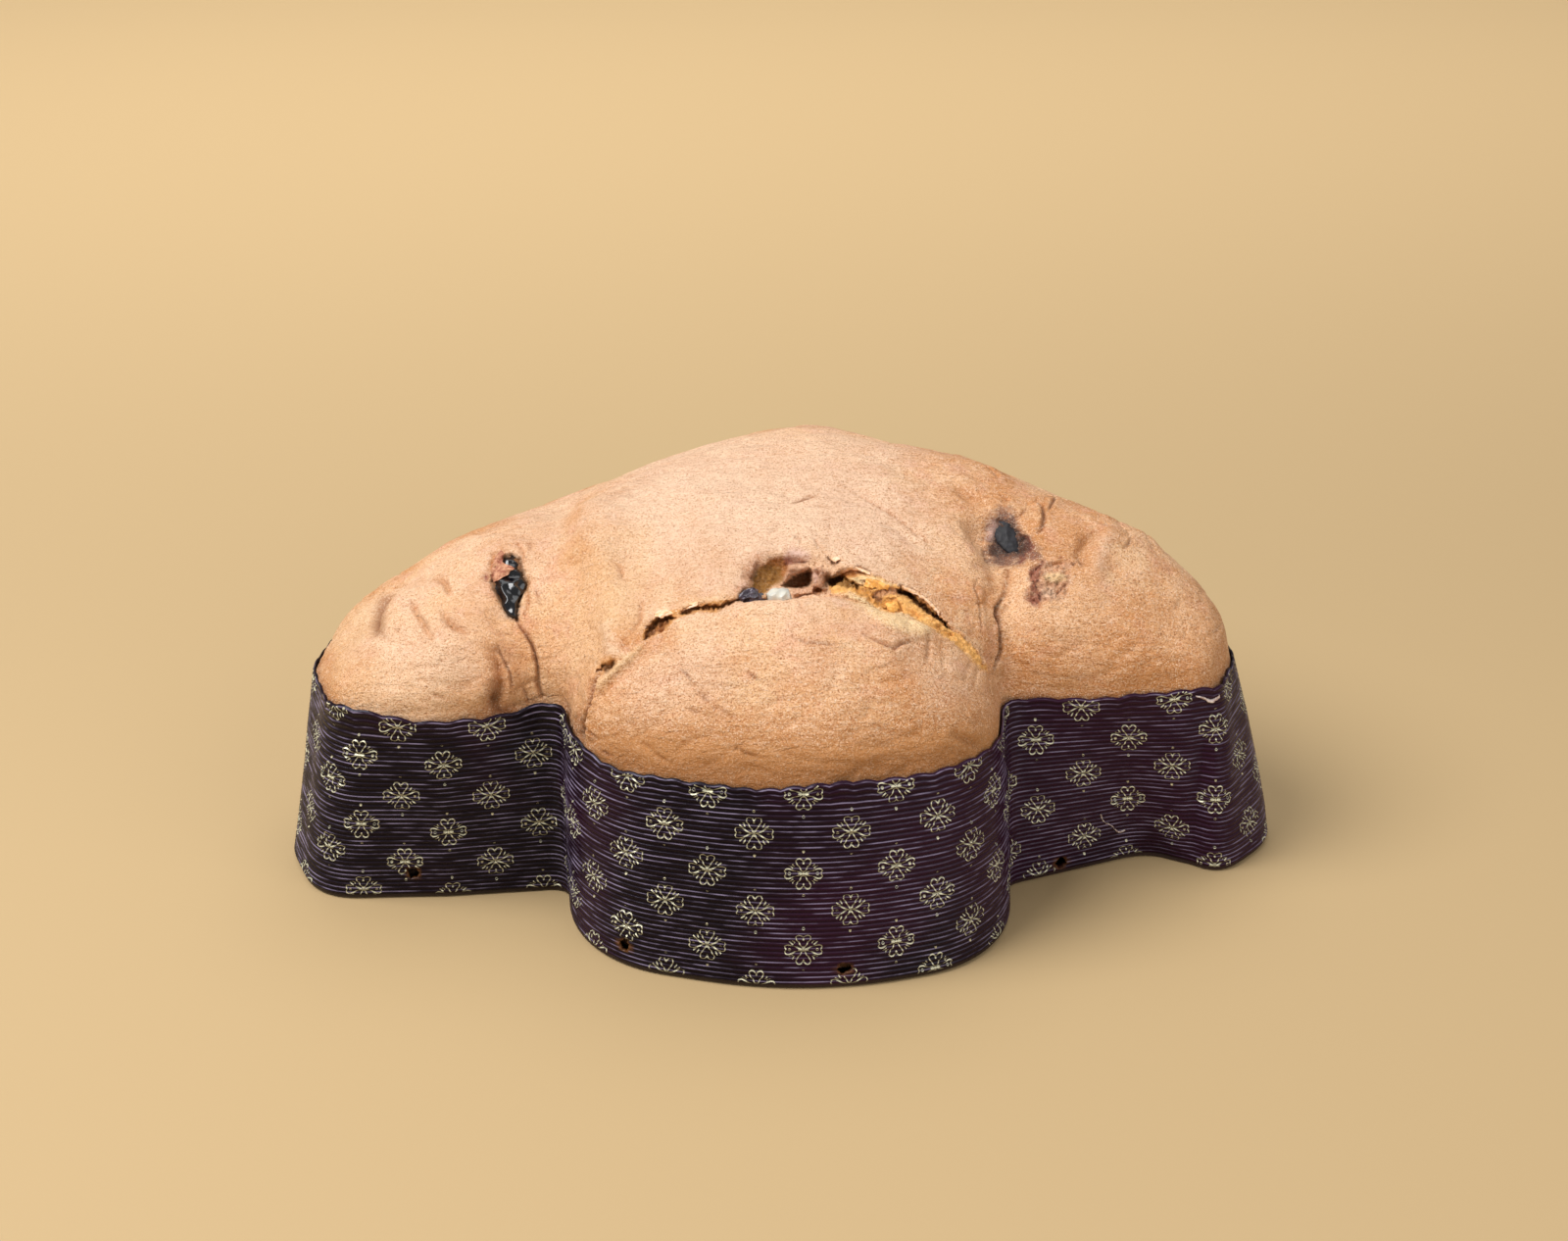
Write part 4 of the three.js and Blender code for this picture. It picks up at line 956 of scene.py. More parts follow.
def crust_material(settings):
    m = Recipe("baked_crust")
    grain = m.noise(2200, 3, 0.6)
    pores = m.noise(1000, 3, 0.7, distortion=0.3)
    wrinkles = m.noise(1, 3, 0.55, vector=m.stretched((110, 420, 420), (0, 0.25, 0.3)), distortion=0.6)
    level = m.noise(1, 2, 0.6, vector=m.stretched((330, 1100, 1100), (0, 0, 0.15)))
    steep = m.noise(1, 2, 0.6, vector=m.stretched((1100, 1100, 330), (0.2, 0.1, 0)))
    streaks = m.mix_value(m.attribute("downhill"), level, steep)
    base = m.mix(m.ramp(m.noise(42, 4, 0.6, distortion=0.4), 0.38, 0.64), settings.tan, settings.peach)
    base = m.mix(m.ramp(m.noise(120, 3, 0.6), 0.50, 0.68, 0, 0.55), base, settings.blush)
    base = m.mix(m.ramp(m.noise(75, 3, 0.6, distortion=1.0), 0.52, 0.70, 0, 0.6), base, settings.cream_and_painted_light)
    paint = m.tree.nodes.new("ShaderNodeAttribute")
    paint.attribute_name = "paint"
    base = m.mix(paint.outputs["Alpha"], base, paint.outputs["Color"])
    plain = m.math("MULTIPLY", m.ramp(paint.outputs["Alpha"], 0.8, 0.99, 1.0, 0.35), m.attribute("coarse"))
    for value, dark, light in ((grain, 0.95, 0.8), (pores, 0.36, 0.26), (streaks, 0.22, 0.2)):
        base = m.mix(m.math("MULTIPLY", plain, m.ramp(value, 0.49, 0.33, 0, dark)), base, settings.speck)
        base = m.mix(m.math("MULTIPLY", plain, m.ramp(value, 0.53, 0.68, 0, light)), base, settings.bloom_and_highlight)
    rough = m.ramp(m.noise(60, 2), 0.3, 0.7, 0.46, 0.62)
    relief = m.bump(wrinkles, 0.0016, 0.6)
    relief = m.bump(grain, 0.0005, 0.9, under=relief)
    relief = m.bump(pores, 0.0008, 0.7, under=relief)
    relief = m.bump(streaks, 0.0005, 0.4, under=relief)
    m.set(Specular_IOR_Level=0.35)
    return m.finish(base, rough, relief)


class COLOMBA_OT_cake(bpy.types.Operator):
    """Adds the uncut cake with its baked crust"""

    bl_idname = "colomba.cake"
    bl_label = "Cake"

    def execute(self, context):
        settings = context.scene.colomba_crust
        mesh = crust_mesh(settings)
        crust = Crust(mesh, settings)
        crust.lump()
        crust.bake()
        crust.crease()
        crust.tear()
        crust.store(mesh)
        piece("baked_cake", mesh, crust_material(settings), ("cake",))
        return {"FINISHED"}


# ---------------------------------------------------------------- paper case

# Heights, in millimetres, where the wall is measured.
CASE_LEVELS = [3.0, 12.0, 22.7, 34.0, 45.5, 54.0, 62.5]
MID_LEVEL = 3  # the level that the columns are set out on
LOWEST = 3.0 * MM  # the foot's rows are measured from the wall at this height
RIM_HEIGHT = 65 * MM
PLAIN_FOOT = 1.4 * MM  # height of the smooth fold under the first ridge
RIDGE_SAMPLES = 4
BEND_FROM = 58 * MM  # above this the ridges follow the rim's rise and fall

# Where the wall stands further in than the solid's: millimetres round the wall, half width, and how far
# in it is at each of CASE_LEVELS.
DENTS = [
    (790, 28, (0.0, 0.1, 0.8, 1.5, 2.2, 2.8, 3.3)),
    (405, 22, (0.0, 0.6, 1.2, 1.4, 1.3, 1.2, 1.0)),
    (757, 2.6, (0.4, 0.9, 1.2, 1.2, 1.0, 0.6, 0.1)),
    (765, 5, (-0.4, -0.7, -0.9, -0.9, -0.7, -0.4, 0.0)),
]

# Where the torn rim stands higher than the solid's: millimetres round the wall, half width and rise.
RIM_RISES = [(366, 16, -3.0), (448, 13, 4.2), (503, 9, 1.8)]

# Rows of the paper's mesh other than its ridges, in millimetres: each row's height, and how far it stands
# inside the wall's outer face. INSIDE_ROWS give the distance below the torn rim instead of the height.
FOOT_ROWS = [(0.0, 1.9), (0.2, 0.9), (0.5, 0.35), (0.95, 0.08)]
INSIDE_ROWS = [(0.0, 0.62), (1.0, 0.8), (3.0, 1.0), (6.0, 1.15), (20.0, 1.2), (40.0, 1.2)]
FLOOR_ROWS = [(3.8, 1.2), (1.2, 3.8)]


class Wall:
    """The case's outer wall: columns set out round its mid height, each measured square to the wall."""

    def __init__(self, columns):
        self.columns = columns
        fine = np.linspace(0, 2 * math.pi, 5760, endpoint=False)
        middle = CASE_LEVELS[MID_LEVEL]
        ring = np.array([self.found((math.cos(a), math.sin(a)), (0, 0), 0.3, middle) for a in fine])
        ring = np.stack([ring * np.cos(fine), ring * np.sin(fine)], 1)
        run = np.concatenate([[0], np.cumsum(np.linalg.norm(np.roll(ring, -1, 0) - ring, axis=1))])
        spaced = np.arange(columns) * run[-1] / columns
        ring = np.concatenate([ring, ring[:1]])
        self.base = self.soften(np.stack([np.interp(spaced, run, ring[:, i]) for i in (0, 1)], 1))
        ahead = np.roll(self.base, -1, 0) - np.roll(self.base, 1, 0)
        self.out = np.stack([ahead[:, 1], -ahead[:, 0]], 1) / np.linalg.norm(ahead, axis=1)[:, None]
        columns = list(zip(self.out, self.base))
        reach = [np.array([self.found(*column, 8 * MM, z) for column in columns]) for z in CASE_LEVELS]
        self.reach = np.stack([self.soften(level) for level in reach])
        spots = self.base + self.reach[..., None] * self.out
        lengths = np.linalg.norm(np.roll(spots, -1, 1) - spots, axis=2)
        self.runs = np.concatenate([np.zeros((len(lengths), 1)), np.cumsum(lengths, 1)], 1)
        self.girth = self.runs[MID_LEVEL, -1]
        self.rims = self.soften(np.array([self.rim_above(*pair) for pair in zip(spots[-1], self.out)]))
        for place, width, depths in DENTS:
            away = (spaced - place * MM + self.girth / 2) % self.girth - self.girth / 2
            self.reach -= MM * np.outer(depths, np.exp(-((away / MM / width) ** 2)))

    @staticmethod
    def found(out, base, start, height):
        """How far out from a base point the wall stands at a height in millimetres, seen from outside."""
        out = Vector((*out, 0))
        base = Vector((*base, height * MM))
        return start - CASE_TREE.ray_cast(base + out * start, -out)[3]

    @staticmethod
    def rim_above(wall, out):
        """The height of the CAD rim over a place on the wall."""
        within = Vector((*(wall - out * 0.6 * MM), 0.1))
        return CASE_TREE.ray_cast(within, Vector((0, 0, -1)))[0].z

    @staticmethod
    def soften(values):
        """Averages over neighbouring columns, to round the facets off."""
        for _ in range(3):
            values = 0.5 * values + 0.25 * (np.roll(values, 1, 0) + np.roll(values, -1, 0))
        return values

    @staticmethod
    def levels_round(height):
        """The number of the level below each height, and how far up to the next one it is, 0 to 1."""
        levels = np.array(CASE_LEVELS) * MM
        level = np.clip(np.searchsorted(levels, height) - 1, 0, len(levels) - 2)
        return level, (height - levels[level]) / (levels[level + 1] - levels[level])

    def at(self, column, height):
        """Points of the smooth wall, in metres, for arrays of (fractional) columns and heights."""
        level, rise = self.levels_round(height)
        whole = np.floor(column).astype(int)
        part = (column - whole)[..., None]
        here, beyond = whole % self.columns, (whole + 1) % self.columns

        def spot(col):
            reach = (1 - rise) * self.reach[level, col] + rise * self.reach[level + 1, col]
            return np.concatenate([self.base[col] + reach[..., None] * self.out[col], height[..., None]], -1)

        return (1 - part) * spot(here) + part * spot(beyond)

    def column_at(self, run):
        """The column at a distance round the wall, counted at mid height from the right-hand end."""
        return np.interp(run, self.runs[MID_LEVEL], np.arange(self.columns + 1))

    def beside(self, column, height, across):
        """The columns that lie a distance across from others, along the wall at those heights."""
        level, rise = self.levels_round(height)
        found = column + 0.0
        every = np.arange(self.columns + 1)
        for k, run in enumerate(self.runs):
            share = np.where(level == k, 1 - rise, 0) + np.where(level + 1 == k, rise, 0)
            moved = np.interp((np.interp(column, every, run) + across) % run[-1], run, every) - column
            found += share * ((moved + self.columns / 2) % self.columns - self.columns / 2)
        return found

    def outward(self, column, height):
        """The wall's level outward direction at the same places."""
        along = self.at(column + 0.7, height) - self.at(column - 0.7, height)
        out = np.stack([along[..., 1], -along[..., 0], np.zeros(along.shape[:-1])], -1)
        return out / np.linalg.norm(out, axis=-1, keepdims=True)


def ridge_top(settings):
    """The height of the last whole ridge, before the rim's own rise and fall."""
    return PLAIN_FOOT + int((RIM_HEIGHT - PLAIN_FOOT) / settings.ridge_pitch) * settings.ridge_pitch


def ridge_rows(settings):
    """The heights of the mesh's rows up the ridges."""
    step = settings.ridge_pitch / RIDGE_SAMPLES
    return PLAIN_FOOT + step * np.arange(round((ridge_top(settings) - PLAIN_FOOT) / step) + 1)


RIDGE_INSIDE = 0.75  # share of the ridges' depth that lies inside the solid's wall
# painted highlight: where on each ridge it is painted
LIT_FROM_GROOVE, LIT_WIDTH = 0.72, 0.13  # the part of a ridge that is lit, as shares of the pitch


def ridge_relief(height, settings):
    """How far a place on the wall stands in or out for the corrugation, straight between the mesh's rows."""
    rows = ridge_rows(settings)
    wave = np.abs(np.sin(math.pi * (rows - PLAIN_FOOT) / settings.ridge_pitch))
    return settings.ridge_depth * (np.interp(height, rows, wave) - RIDGE_INSIDE)


def ridge_light(height, settings):
    """How strongly a ridge's upper side gets the painted highlight at a height, 0 to 1."""
    turn = ((height - PLAIN_FOOT) / settings.ridge_pitch) % 1
    return np.exp(-(((turn - LIT_FROM_GROOVE) / LIT_WIDTH) ** 2)) * (height > PLAIN_FOOT)


def bent(height, rim, settings):
    """The height that a place among the ridges gets when the topmost ones are bent to follow the rim."""
    return BEND_FROM + (height - BEND_FROM) * (rim - BEND_FROM) / (ridge_top(settings) - BEND_FROM)


BITE_SPACING = 8.2 * MM
BITE_WANDER = 31 * MM  # over this the bites stray from their spacing and back
RIM_WANDER = 14 * MM


def torn_rim(wall):
    """The height of the torn paper edge in each column."""
    s = np.arange(wall.columns) / wall.columns * wall.girth
    bites = np.abs(np.sin(math.pi * s / BITE_SPACING + 2.2 * np.sin(s / BITE_WANDER)))
    wander = cloud(np.stack([s, 0 * s, 0 * s], 1), RIM_WANDER, 2, 3)
    rise = sum(high * np.exp(-(((s / MM - run) / width) ** 2)) for run, width, high in RIM_RISES)
    return wall.rims + MM * (0.9 * bites - 0.6 + 0.45 * wander + rise)


def corrugated_rows(wall, settings):
    """Rows of points up the outside of the wall, then down its inside."""
    column = np.arange(wall.columns, dtype=float)
    edge = torn_rim(wall)
    rows = []
    for height, inset in FOOT_ROWS:
        z = np.full(wall.columns, LOWEST)
        row = wall.at(column, z) - wall.outward(column, z) * inset * MM
        row[:, 2] = height * MM
        rows.append(row)
    for height in ridge_rows(settings):
        z = np.full(wall.columns, height)
        lifted = bent(z, edge, settings) if height > BEND_FROM else z
        row = wall.at(column, lifted) + wall.outward(column, lifted) * ridge_relief(z, settings)[:, None]
        row[:, 2] = lifted
        rows.append(row)
    for drop, inset in INSIDE_ROWS:
        z = edge - drop * MM
        rows.append(wall.at(column, z) - wall.outward(column, z) * inset * MM)
    for height, inset in FLOOR_ROWS:
        z = np.full(wall.columns, height * MM)
        row = wall.at(column, np.maximum(z, LOWEST)) - wall.outward(column, z) * inset * MM
        row[:, 2] = height * MM
        rows.append(row)
    return rows


# Skewer holes: place along X and height, in millimetres, on the tail side (-1) or the head side (1).
SKEWER_HOLES = [(-113, 9.6, -1), (-47.6, 7.2, -1), (18, 6.5, -1), (87, 4.4, -1),
                (-113, 6.5, 1), (-30, 6.5, 1), (18, 6.5, 1), (87, 6.5, 1)]
HOLE_RADIUS = 2.0 * MM
SINGED_REACH = (2.7 * MM, 1.9 * MM)  # from a hole's middle: where the brown edge begins and is full


def hole_places(wall):
    """Where the skewers went through the wall: each place on it, and the way out."""
    column = np.arange(0, wall.columns, 0.25)
    places = []
    for x, z, side in SKEWER_HOLES:
        height = np.full(len(column), z * MM)
        spots = wall.at(column, height)
        close = np.abs(spots[:, 0] - x * MM) < 0.6 * MM
        k = np.argmax(np.where(close, spots[:, 1] * side, -np.inf))
        places.append((Vector(spots[k]), Vector(wall.outward(column[k : k + 1], height[k : k + 1])[0])))
    return places


def pierced(mesh, wall):
    """The paper with its ragged skewer holes cut through."""
    places = hole_places(wall)
    bm = bmesh.new()
    for spot, out in places:
        turn = out.to_track_quat("Z", "Y").to_matrix().to_4x4()
        made = bmesh.ops.create_cone(
            bm, cap_ends=True, segments=14, radius1=HOLE_RADIUS, radius2=HOLE_RADIUS, depth=9 * MM,
            matrix=Matrix.Translation(spot) @ turn
        )
        for vert in made["verts"]:
            away = vert.co - spot
            away -= out * away.dot(out)
            vert.co += away * 0.5 * noise.noise(spot * 90 + away / (1.1 * MM))
    cutter = bpy.data.objects.new("skewers", mesh_from(bm, "skewers"))
    bpy.context.scene.collection.objects.link(cutter)
    paper = bpy.data.objects.new("paper", mesh)
    cutting = {"object": cutter, "solver": "MANIFOLD", "operation": "DIFFERENCE"}
    cut = with_modifiers(paper, ("BOOLEAN", cutting))
    bpy.data.objects.remove(cutter)
    points = positions(cut)
    near = np.min([np.linalg.norm(points - np.array(spot), axis=1) for spot, _ in places], axis=0)
    set_point_value(cut, "singed", smoothstep(*SINGED_REACH, near))
    return cut


def case_mesh(wall, settings):
    """A ring of vertices, extruded row by row up the outside and down the inside, with both floors."""
    rows = corrugated_rows(wall, settings)
    bm = bmesh.new()
    start = bmesh.ops.create_circle(bm, segments=wall.columns, radius=0.1, cap_ends=False)["verts"]
    edges = list(dict.fromkeys(e for vert in start for e in vert.link_edges))
    for vert, place in zip(start, rows[0]):
        vert.co = place
    bmesh.ops.contextual_create(bm, geom=edges)
    verts = start
    for row in rows[1:]:
        made = bmesh.ops.extrude_edge_only(bm, edges=edges)["geom"]
        edges = [g for g in made if isinstance(g, bmesh.types.BMEdge)]
        fresh = {g for g in made if isinstance(g, bmesh.types.BMVert)}
        beyond = ([e.other_vert(vert) for e in vert.link_edges] for vert in verts)
        verts = [next(vert for vert in others if vert in fresh) for others in beyond]
        for vert, place in zip(verts, row):
            vert.co = place
    bmesh.ops.contextual_create(bm, geom=edges)
    bmesh.ops.recalc_face_normals(bm, faces=bm.faces)
    mesh = mesh_from(bm, "paper")
    light, foot = np.zeros((2, len(rows), wall.columns))
    ridges = ridge_rows(settings)
    first = len(FOOT_ROWS)
    light[first : first + len(ridges)] = ridge_light(ridges, settings)[:, None]
    foot[: first + 1] = 1
    set_point_value(mesh, "ridge_light", light.ravel())
    set_point_value(mesh, "foot", foot.ravel())
    return mesh


def paper_material(settings):
    m = Recipe("aubergine_paper")
    dark = settings.aubergine
    patches = m.ramp(m.noise(9, 3, 0.6), 0.42, 0.62)
    base = m.mix(patches, dark, tuple(c * f for c, f in zip(dark, (4.4, 2.4, 4.0))))
    # painted highlight: the ridges' upper sides are painted lighter, broken into patches
    highlight_breaks = m.noise(1, 3, 0.6, vector=m.stretched((90, 90, 900)))
    crest = m.ramp(m.attribute("ridge_light"), 0.45, 0.95)
    light = m.math("MULTIPLY", crest, m.ramp(highlight_breaks, 0.42, 0.68, 0.05, 1.0))
    base = m.mix(light, base, settings.crest)
    base = m.mix(m.math("MULTIPLY", m.attribute("foot"), 0.6), base, settings.foot)
    base = m.mix(m.math("MULTIPLY", m.attribute("singed"), 0.8), base, settings.singed)
    rough = m.ramp(m.noise(150, 3, 0.6), 0.3, 0.7, 0.2, 0.4)
    relief = m.bump(m.noise(1, 3, 0.6, vector=m.stretched((240, 240, 1200))), 0.0002, 0.6)
    m.set(Specular_IOR_Level=0.2, Specular_Tint=(0.78, 0.82, 1.0, 1))
    return m.finish(base, rough, relief)


# ---------------------------------------------------------------- print

# Strokes of one printed flower, in millimetres from its middle, across and up. Each is mirrored four ways.
FLOWER_STROKES = [
    [(0.2, 0.4), (0.7, 1.2), (1.35, 2.4), (2.1, 3.4), (2.2, 4.3), (1.5, 4.9), (0.6, 4.7), (0.0, 3.9)],
    [(0.5, 0.15), (1.9, 0.6), (3.3, 1.3), (4.4, 1.65), (5.35, 1.4), (5.5, 0.65), (5.0, 0.1)],
    [(2.5, 2.1), (3.2, 3.1)],
    [(3.0, 1.7), (4.2, 2.5)],
]
FLOWER_BARS = [[(-1.5, 0.0), (1.5, 0.0)], [(0.0, -0.9), (0.0, 0.9)]]
FLOWER_DOTS = [(0.0, 6.9, 0.42), (0.0, -6.9, 0.42), (4.05, 0.0, 0.45), (-4.05, 0.0, 0.45), (0.0, 3.4, 0.3),
               (0.0, -3.4, 0.3)]
STROKE_WIDTH = 0.32
STROKE_STEP = 0.45
PRINT_LIFT = 0.06 * MM

# Where the printed columns stand: millimetres round the wall from its right-hand end, one flower's height,
# and how far the column leans from one flower to the next one down.
FRONT_COLUMNS = [
    (434.9, 43.0, -1.8), (445.4, 28.4, -1.5), (457.8, 38.7, -0.9), (471.1, 25.3, 0.0), (484.7, 37.4, 0.0),
    (498.4, 25.7, 0.5), (511.9, 38.0, 0.4), (524.6, 38.0, 0.4), (537.3, 26.0, 0.4), (550.0, 38.9, 0.4),
    (562.3, 26.2, 0.4), (575.0, 37.8, 0.2), (588.9, 25.8, 0.5), (603.0, 38.2, 0.0), (616.8, 26.1, -0.5),
    (630.3, 38.5, -0.4), (643.0, 27.2, -0.9), (655.1, 39.3, -1.4), (667.6, 26.5, -1.0), (680.4, 38.5, 0.0),
    (692.6, 38.0, 1.0), (704.4, 26.4, 1.8), (719.1, 37.5, 2.6), (733.4, 25.3, 2.2), (747.0, 39.0, 1.5),
    (760.4, 26.9, 1.7), (774.2, 37.4, 2.6),
]
PRINT_PITCH = 24.6
PRINT_BOTTOM, PRINT_MIDDLE, PRINT_TOP = -4 * MM, 38 * MM, 70 * MM  # where flowers' middles may stand
HIDDEN_COLUMNS = 33  # evenly spaced over the rest of the wall
HIDDEN_HEIGHTS = (25.9, 38.3)  # one flower's height in every other one of them


def stroke_strip(bm, path):
    """A flat strip along a stroke, with its corners rounded off."""
    path = np.array(path, float)
    for _ in range(2 if len(path) > 2 else 0):
        corners = [[a * 0.75 + b * 0.25, a * 0.25 + b * 0.75] for a, b in zip(path[:-1], path[1:])]
        path = np.concatenate([path[:1], *corners, path[-1:]])
    run = np.concatenate([[0], np.cumsum(np.linalg.norm(np.diff(path, axis=0), axis=1))])
    pieces = max(2, round(run[-1] / STROKE_STEP))
    grid = bmesh.ops.create_grid(bm, x_segments=pieces, y_segments=1, size=0.5)["verts"]
    for vert in grid:
        along = (vert.co.x + 0.5) * run[-1]
        before, after = max(0, along - 0.05), min(run[-1], along + 0.05)
        spot = Vector([np.interp(along, run, line) for line in path.T])
        ahead = Vector([np.interp(after, run, line) - np.interp(before, run, line) for line in path.T])
        side = Vector((-ahead.y, ahead.x)).normalized()
        spot += side * vert.co.y * STROKE_WIDTH
        vert.co = (spot.x, spot.y, 0)


def flower_mesh():
    """One printed flower, flat, in millimetres."""
    bm = bmesh.new()
    for stroke in FLOWER_STROKES:
        for across, up in ((1, 1), (-1, 1), (-1, -1), (1, -1)):
            turned = [(across * x, up * y) for x, y in stroke]
            stroke_strip(bm, turned)
    for bar in FLOWER_BARS:
        stroke_strip(bm, bar)
    for x, y, radius in FLOWER_DOTS:
        place = Matrix.Translation((x, y, 0))
        bmesh.ops.create_circle(bm, cap_ends=True, segments=8, radius=radius, matrix=place)
    for face in bm.faces:
        if face.normal.z < 0:
            face.normal_flip()
    return mesh_from(bm, "flower")


def printed_columns(wall):
    """Every printed column as its distance round the wall, one flower's height and its lean, in metres."""
    first, last = FRONT_COLUMNS[0], FRONT_COLUMNS[-1]
    girth = wall.girth / MM
    gap = (first[0] + girth - last[0]) / (HIDDEN_COLUMNS + 1)
    hidden = [(last[0] + gap * (k + 1), HIDDEN_HEIGHTS[k % 2], 0.0) for k in range(HIDDEN_COLUMNS)]
    return [((run % girth) * MM, height * MM, lean * MM) for run, height, lean in FRONT_COLUMNS + hidden]


def plumb(wall, column, start, end):
    """The column reached by going straight up or down the wall, square to its ridges."""
    steps = max(1, math.ceil(abs(end - start) / (3 * MM)))
    for height in np.linspace(start, end, steps, endpoint=False):
        step = (end - start) / steps
        here = np.array([column]), np.array([height + step / 2])
        along = wall.at(here[0] + 0.5, here[1])[0] - wall.at(here[0] - 0.5, here[1])[0]
        drift = wall.at(here[0], here[1] + MM)[0] - wall.at(here[0], here[1] - MM)[0]
        column -= (drift @ along) / (along @ along) * step / (2 * MM)
    return column


def print_mesh(wall, settings):
    """The flower repeated over the wall and laid on its ridges."""
    flower = flower_mesh()
    flat = positions(flower) * MM
    edge = torn_rim(wall)
    bm = bmesh.new()
    laid = []
    for run, height, lean in printed_columns(wall):
        for k in range(-2, 3):
            middle = height + k * PRINT_PITCH * MM
            if not PRINT_BOTTOM < middle < PRINT_TOP:
                continue
            leaning = lean * (PRINT_MIDDLE - middle) / (PRINT_PITCH * MM)
            column = plumb(wall, wall.column_at((run + leaning) % wall.girth), PRINT_MIDDLE, middle)
            slope = plumb(wall, column, middle, middle + MM) - column
            slope -= lean / PRINT_PITCH * wall.columns / wall.girth
            up = middle + flat[:, 1]
            across = wall.beside((column + slope * flat[:, 1] / MM) % wall.columns, up, flat[:, 0])
            bm.from_mesh(flower)
            laid.append(np.stack([across, up], 1))
    laid = np.concatenate(laid)
    column, height = laid[:, 0] % wall.columns, laid[:, 1]
    rim = np.interp(column, np.arange(wall.columns + 1), np.append(edge, edge[0]))
    outside = (height > rim - 0.3 * MM) | (height < PLAIN_FOOT)
    flush = wall.at(column, height)
    for spot, _ in hole_places(wall):
        outside |= np.linalg.norm(flush - np.array(spot), axis=1) < 1.1 * HOLE_RADIUS
    unbent = BEND_FROM + (height - BEND_FROM) * (ridge_top(settings) - BEND_FROM) / (rim - BEND_FROM)
    flatwise = np.where(height > BEND_FROM, unbent, height)
    spots = flush + wall.outward(column, height) * (ridge_relief(flatwise, settings) + PRINT_LIFT)[:, None]
    bm.verts.ensure_lookup_table()
    for vert, spot in zip(bm.verts, spots):
        vert.co = spot
    shine = bm.verts.layers.float.new("ridge_light")
    for vert, light in zip(bm.verts, ridge_light(flatwise, settings)):
        vert[shine] = light
    bmesh.ops.delete(bm, geom=[bm.verts[i] for i in np.nonzero(outside)[0]], context="VERTS")
    return mesh_from(bm, "print")


def gold_material(settings):
    m = Recipe("pale_gold")
    # painted glints: the print is painted bright on the ridges' upper sides and darker elsewhere, broken
    # into patches
    glint_breaks = m.ramp(m.noise(300, 3, 0.6), 0.35, 0.65, 0.55, 1.0)
    light = m.math("MULTIPLY", m.ramp(m.attribute("ridge_light"), 0.15, 0.9), glint_breaks)
    base = m.mix(light, tuple(c * 0.42 for c in settings.gold), settings.gold)
    m.set(Metallic=0.2)
    return m.finish(base, m.ramp(m.noise(300, 2), 0.3, 0.7, 0.25, 0.4))


class COLOMBA_OT_paper_case(bpy.types.Operator):
    """Adds the corrugated paper case"""

    bl_idname = "colomba.paper_case"
    bl_label = "Paper case"

    def execute(self, context):
        settings = context.scene.colomba_case
        wall = Wall(settings.columns)
        paper = pierced(case_mesh(wall, settings), wall)
        piece("corrugated_case", paper, paper_material(settings), ("paper_case",))
        piece("gold_print", print_mesh(wall, settings), gold_material(settings))
        return {"FINISHED"}


# ---------------------------------------------------------------- fruit

# Each lump by the photograph's rows: (row, left edge, right edge), from the top down, with its size in
# millimetres from its front to its middle, and its folds' depth and spacing.
LUMPS = {
    "raisin_left": {
        "rows": [(566.5, 520, 524), (570, 514, 529), (576, 509, 530), (584, 503, 533), (591, 501, 536),
                 (597, 502, 538), (603, 504, 536), (609, 507, 532), (616, 510, 530), (623, 514, 529),
                 (629, 519, 529), (632, 522, 528)],
        "thick": 4.2, "folds": 0.9, "spacing": 4.6,
    },
    "raisin_right": {
        "rows": [(529, 1021, 1026), (533, 1016, 1032), (540, 1014, 1036), (548, 1015, 1038),
                 (555, 1018, 1040), (561, 1024, 1041), (566, 1031, 1037)],
        "thick": 1.4, "folds": 0.3, "spacing": 3.6,
    },
    "dried_fruit": {
        "rows": [(600, 763, 768), (603, 759, 776), (607, 755, 779), (611, 754, 781), (615, 757, 779),
                 (618, 763, 772)],
        "thick": 3.0, "folds": 0.9, "spacing": 1.9,
    },
    "candied_peel": {
        "rows": [(598, 793, 798), (601, 787, 804), (606, 782, 808), (611, 781, 809), (615, 784, 807),
                 (619, 791, 801)],
        "thick": 3.2, "folds": 0.45, "spacing": 3.0,
    },
}


def lump_mesh(node, top, bottom):
    """A folded lump whose outline follows its rows. Its front is top metres from the lens at its first row,
    and bottom metres at its last."""
    shape = LUMPS[node]
    rows, left, right = np.array(shape["rows"], float).T
    bm = bmesh.new()
    bmesh.ops.create_icosphere(bm, subdivisions=6, radius=1)
    for vert in bm.verts:
        x, y, z = vert.co
        row = (rows[0] + rows[-1]) / 2 - y * (rows[-1] - rows[0]) / 2
        start, end = np.interp(row, rows, left), np.interp(row, rows, right)
        across = x / math.sqrt(max(1 - y * y, 1e-6))
        depth = top + (bottom - top) * (1 - y) / 2 + (1 - z) * shape["thick"] * MM
        vert.co = EYE + sight_line((start + end + across * (end - start)) / 2, row) * depth
    smooth(bm, bm.verts, 2)
    bm.normal_update()
    spacing = shape["spacing"] * MM
    for vert in bm.verts:
        folds = 1 - 2.4 * abs(noise.noise(vert.co / spacing)) + 0.15 * noise.noise(vert.co * 2.6 / spacing)
        vert.co += vert.normal * shape["folds"] * MM * (folds - 0.7)
    return mesh_from(bm, node)


def front_of(node):
    """How far the CAD lump's front is from the lens, on the way to its middle."""
    rows = LUMPS[node]["rows"]
    row, start, end = rows[len(rows) // 2]
    return depth_at(tree_of(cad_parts[node]), ((start + end) / 2, row)) - 0.5 * MM


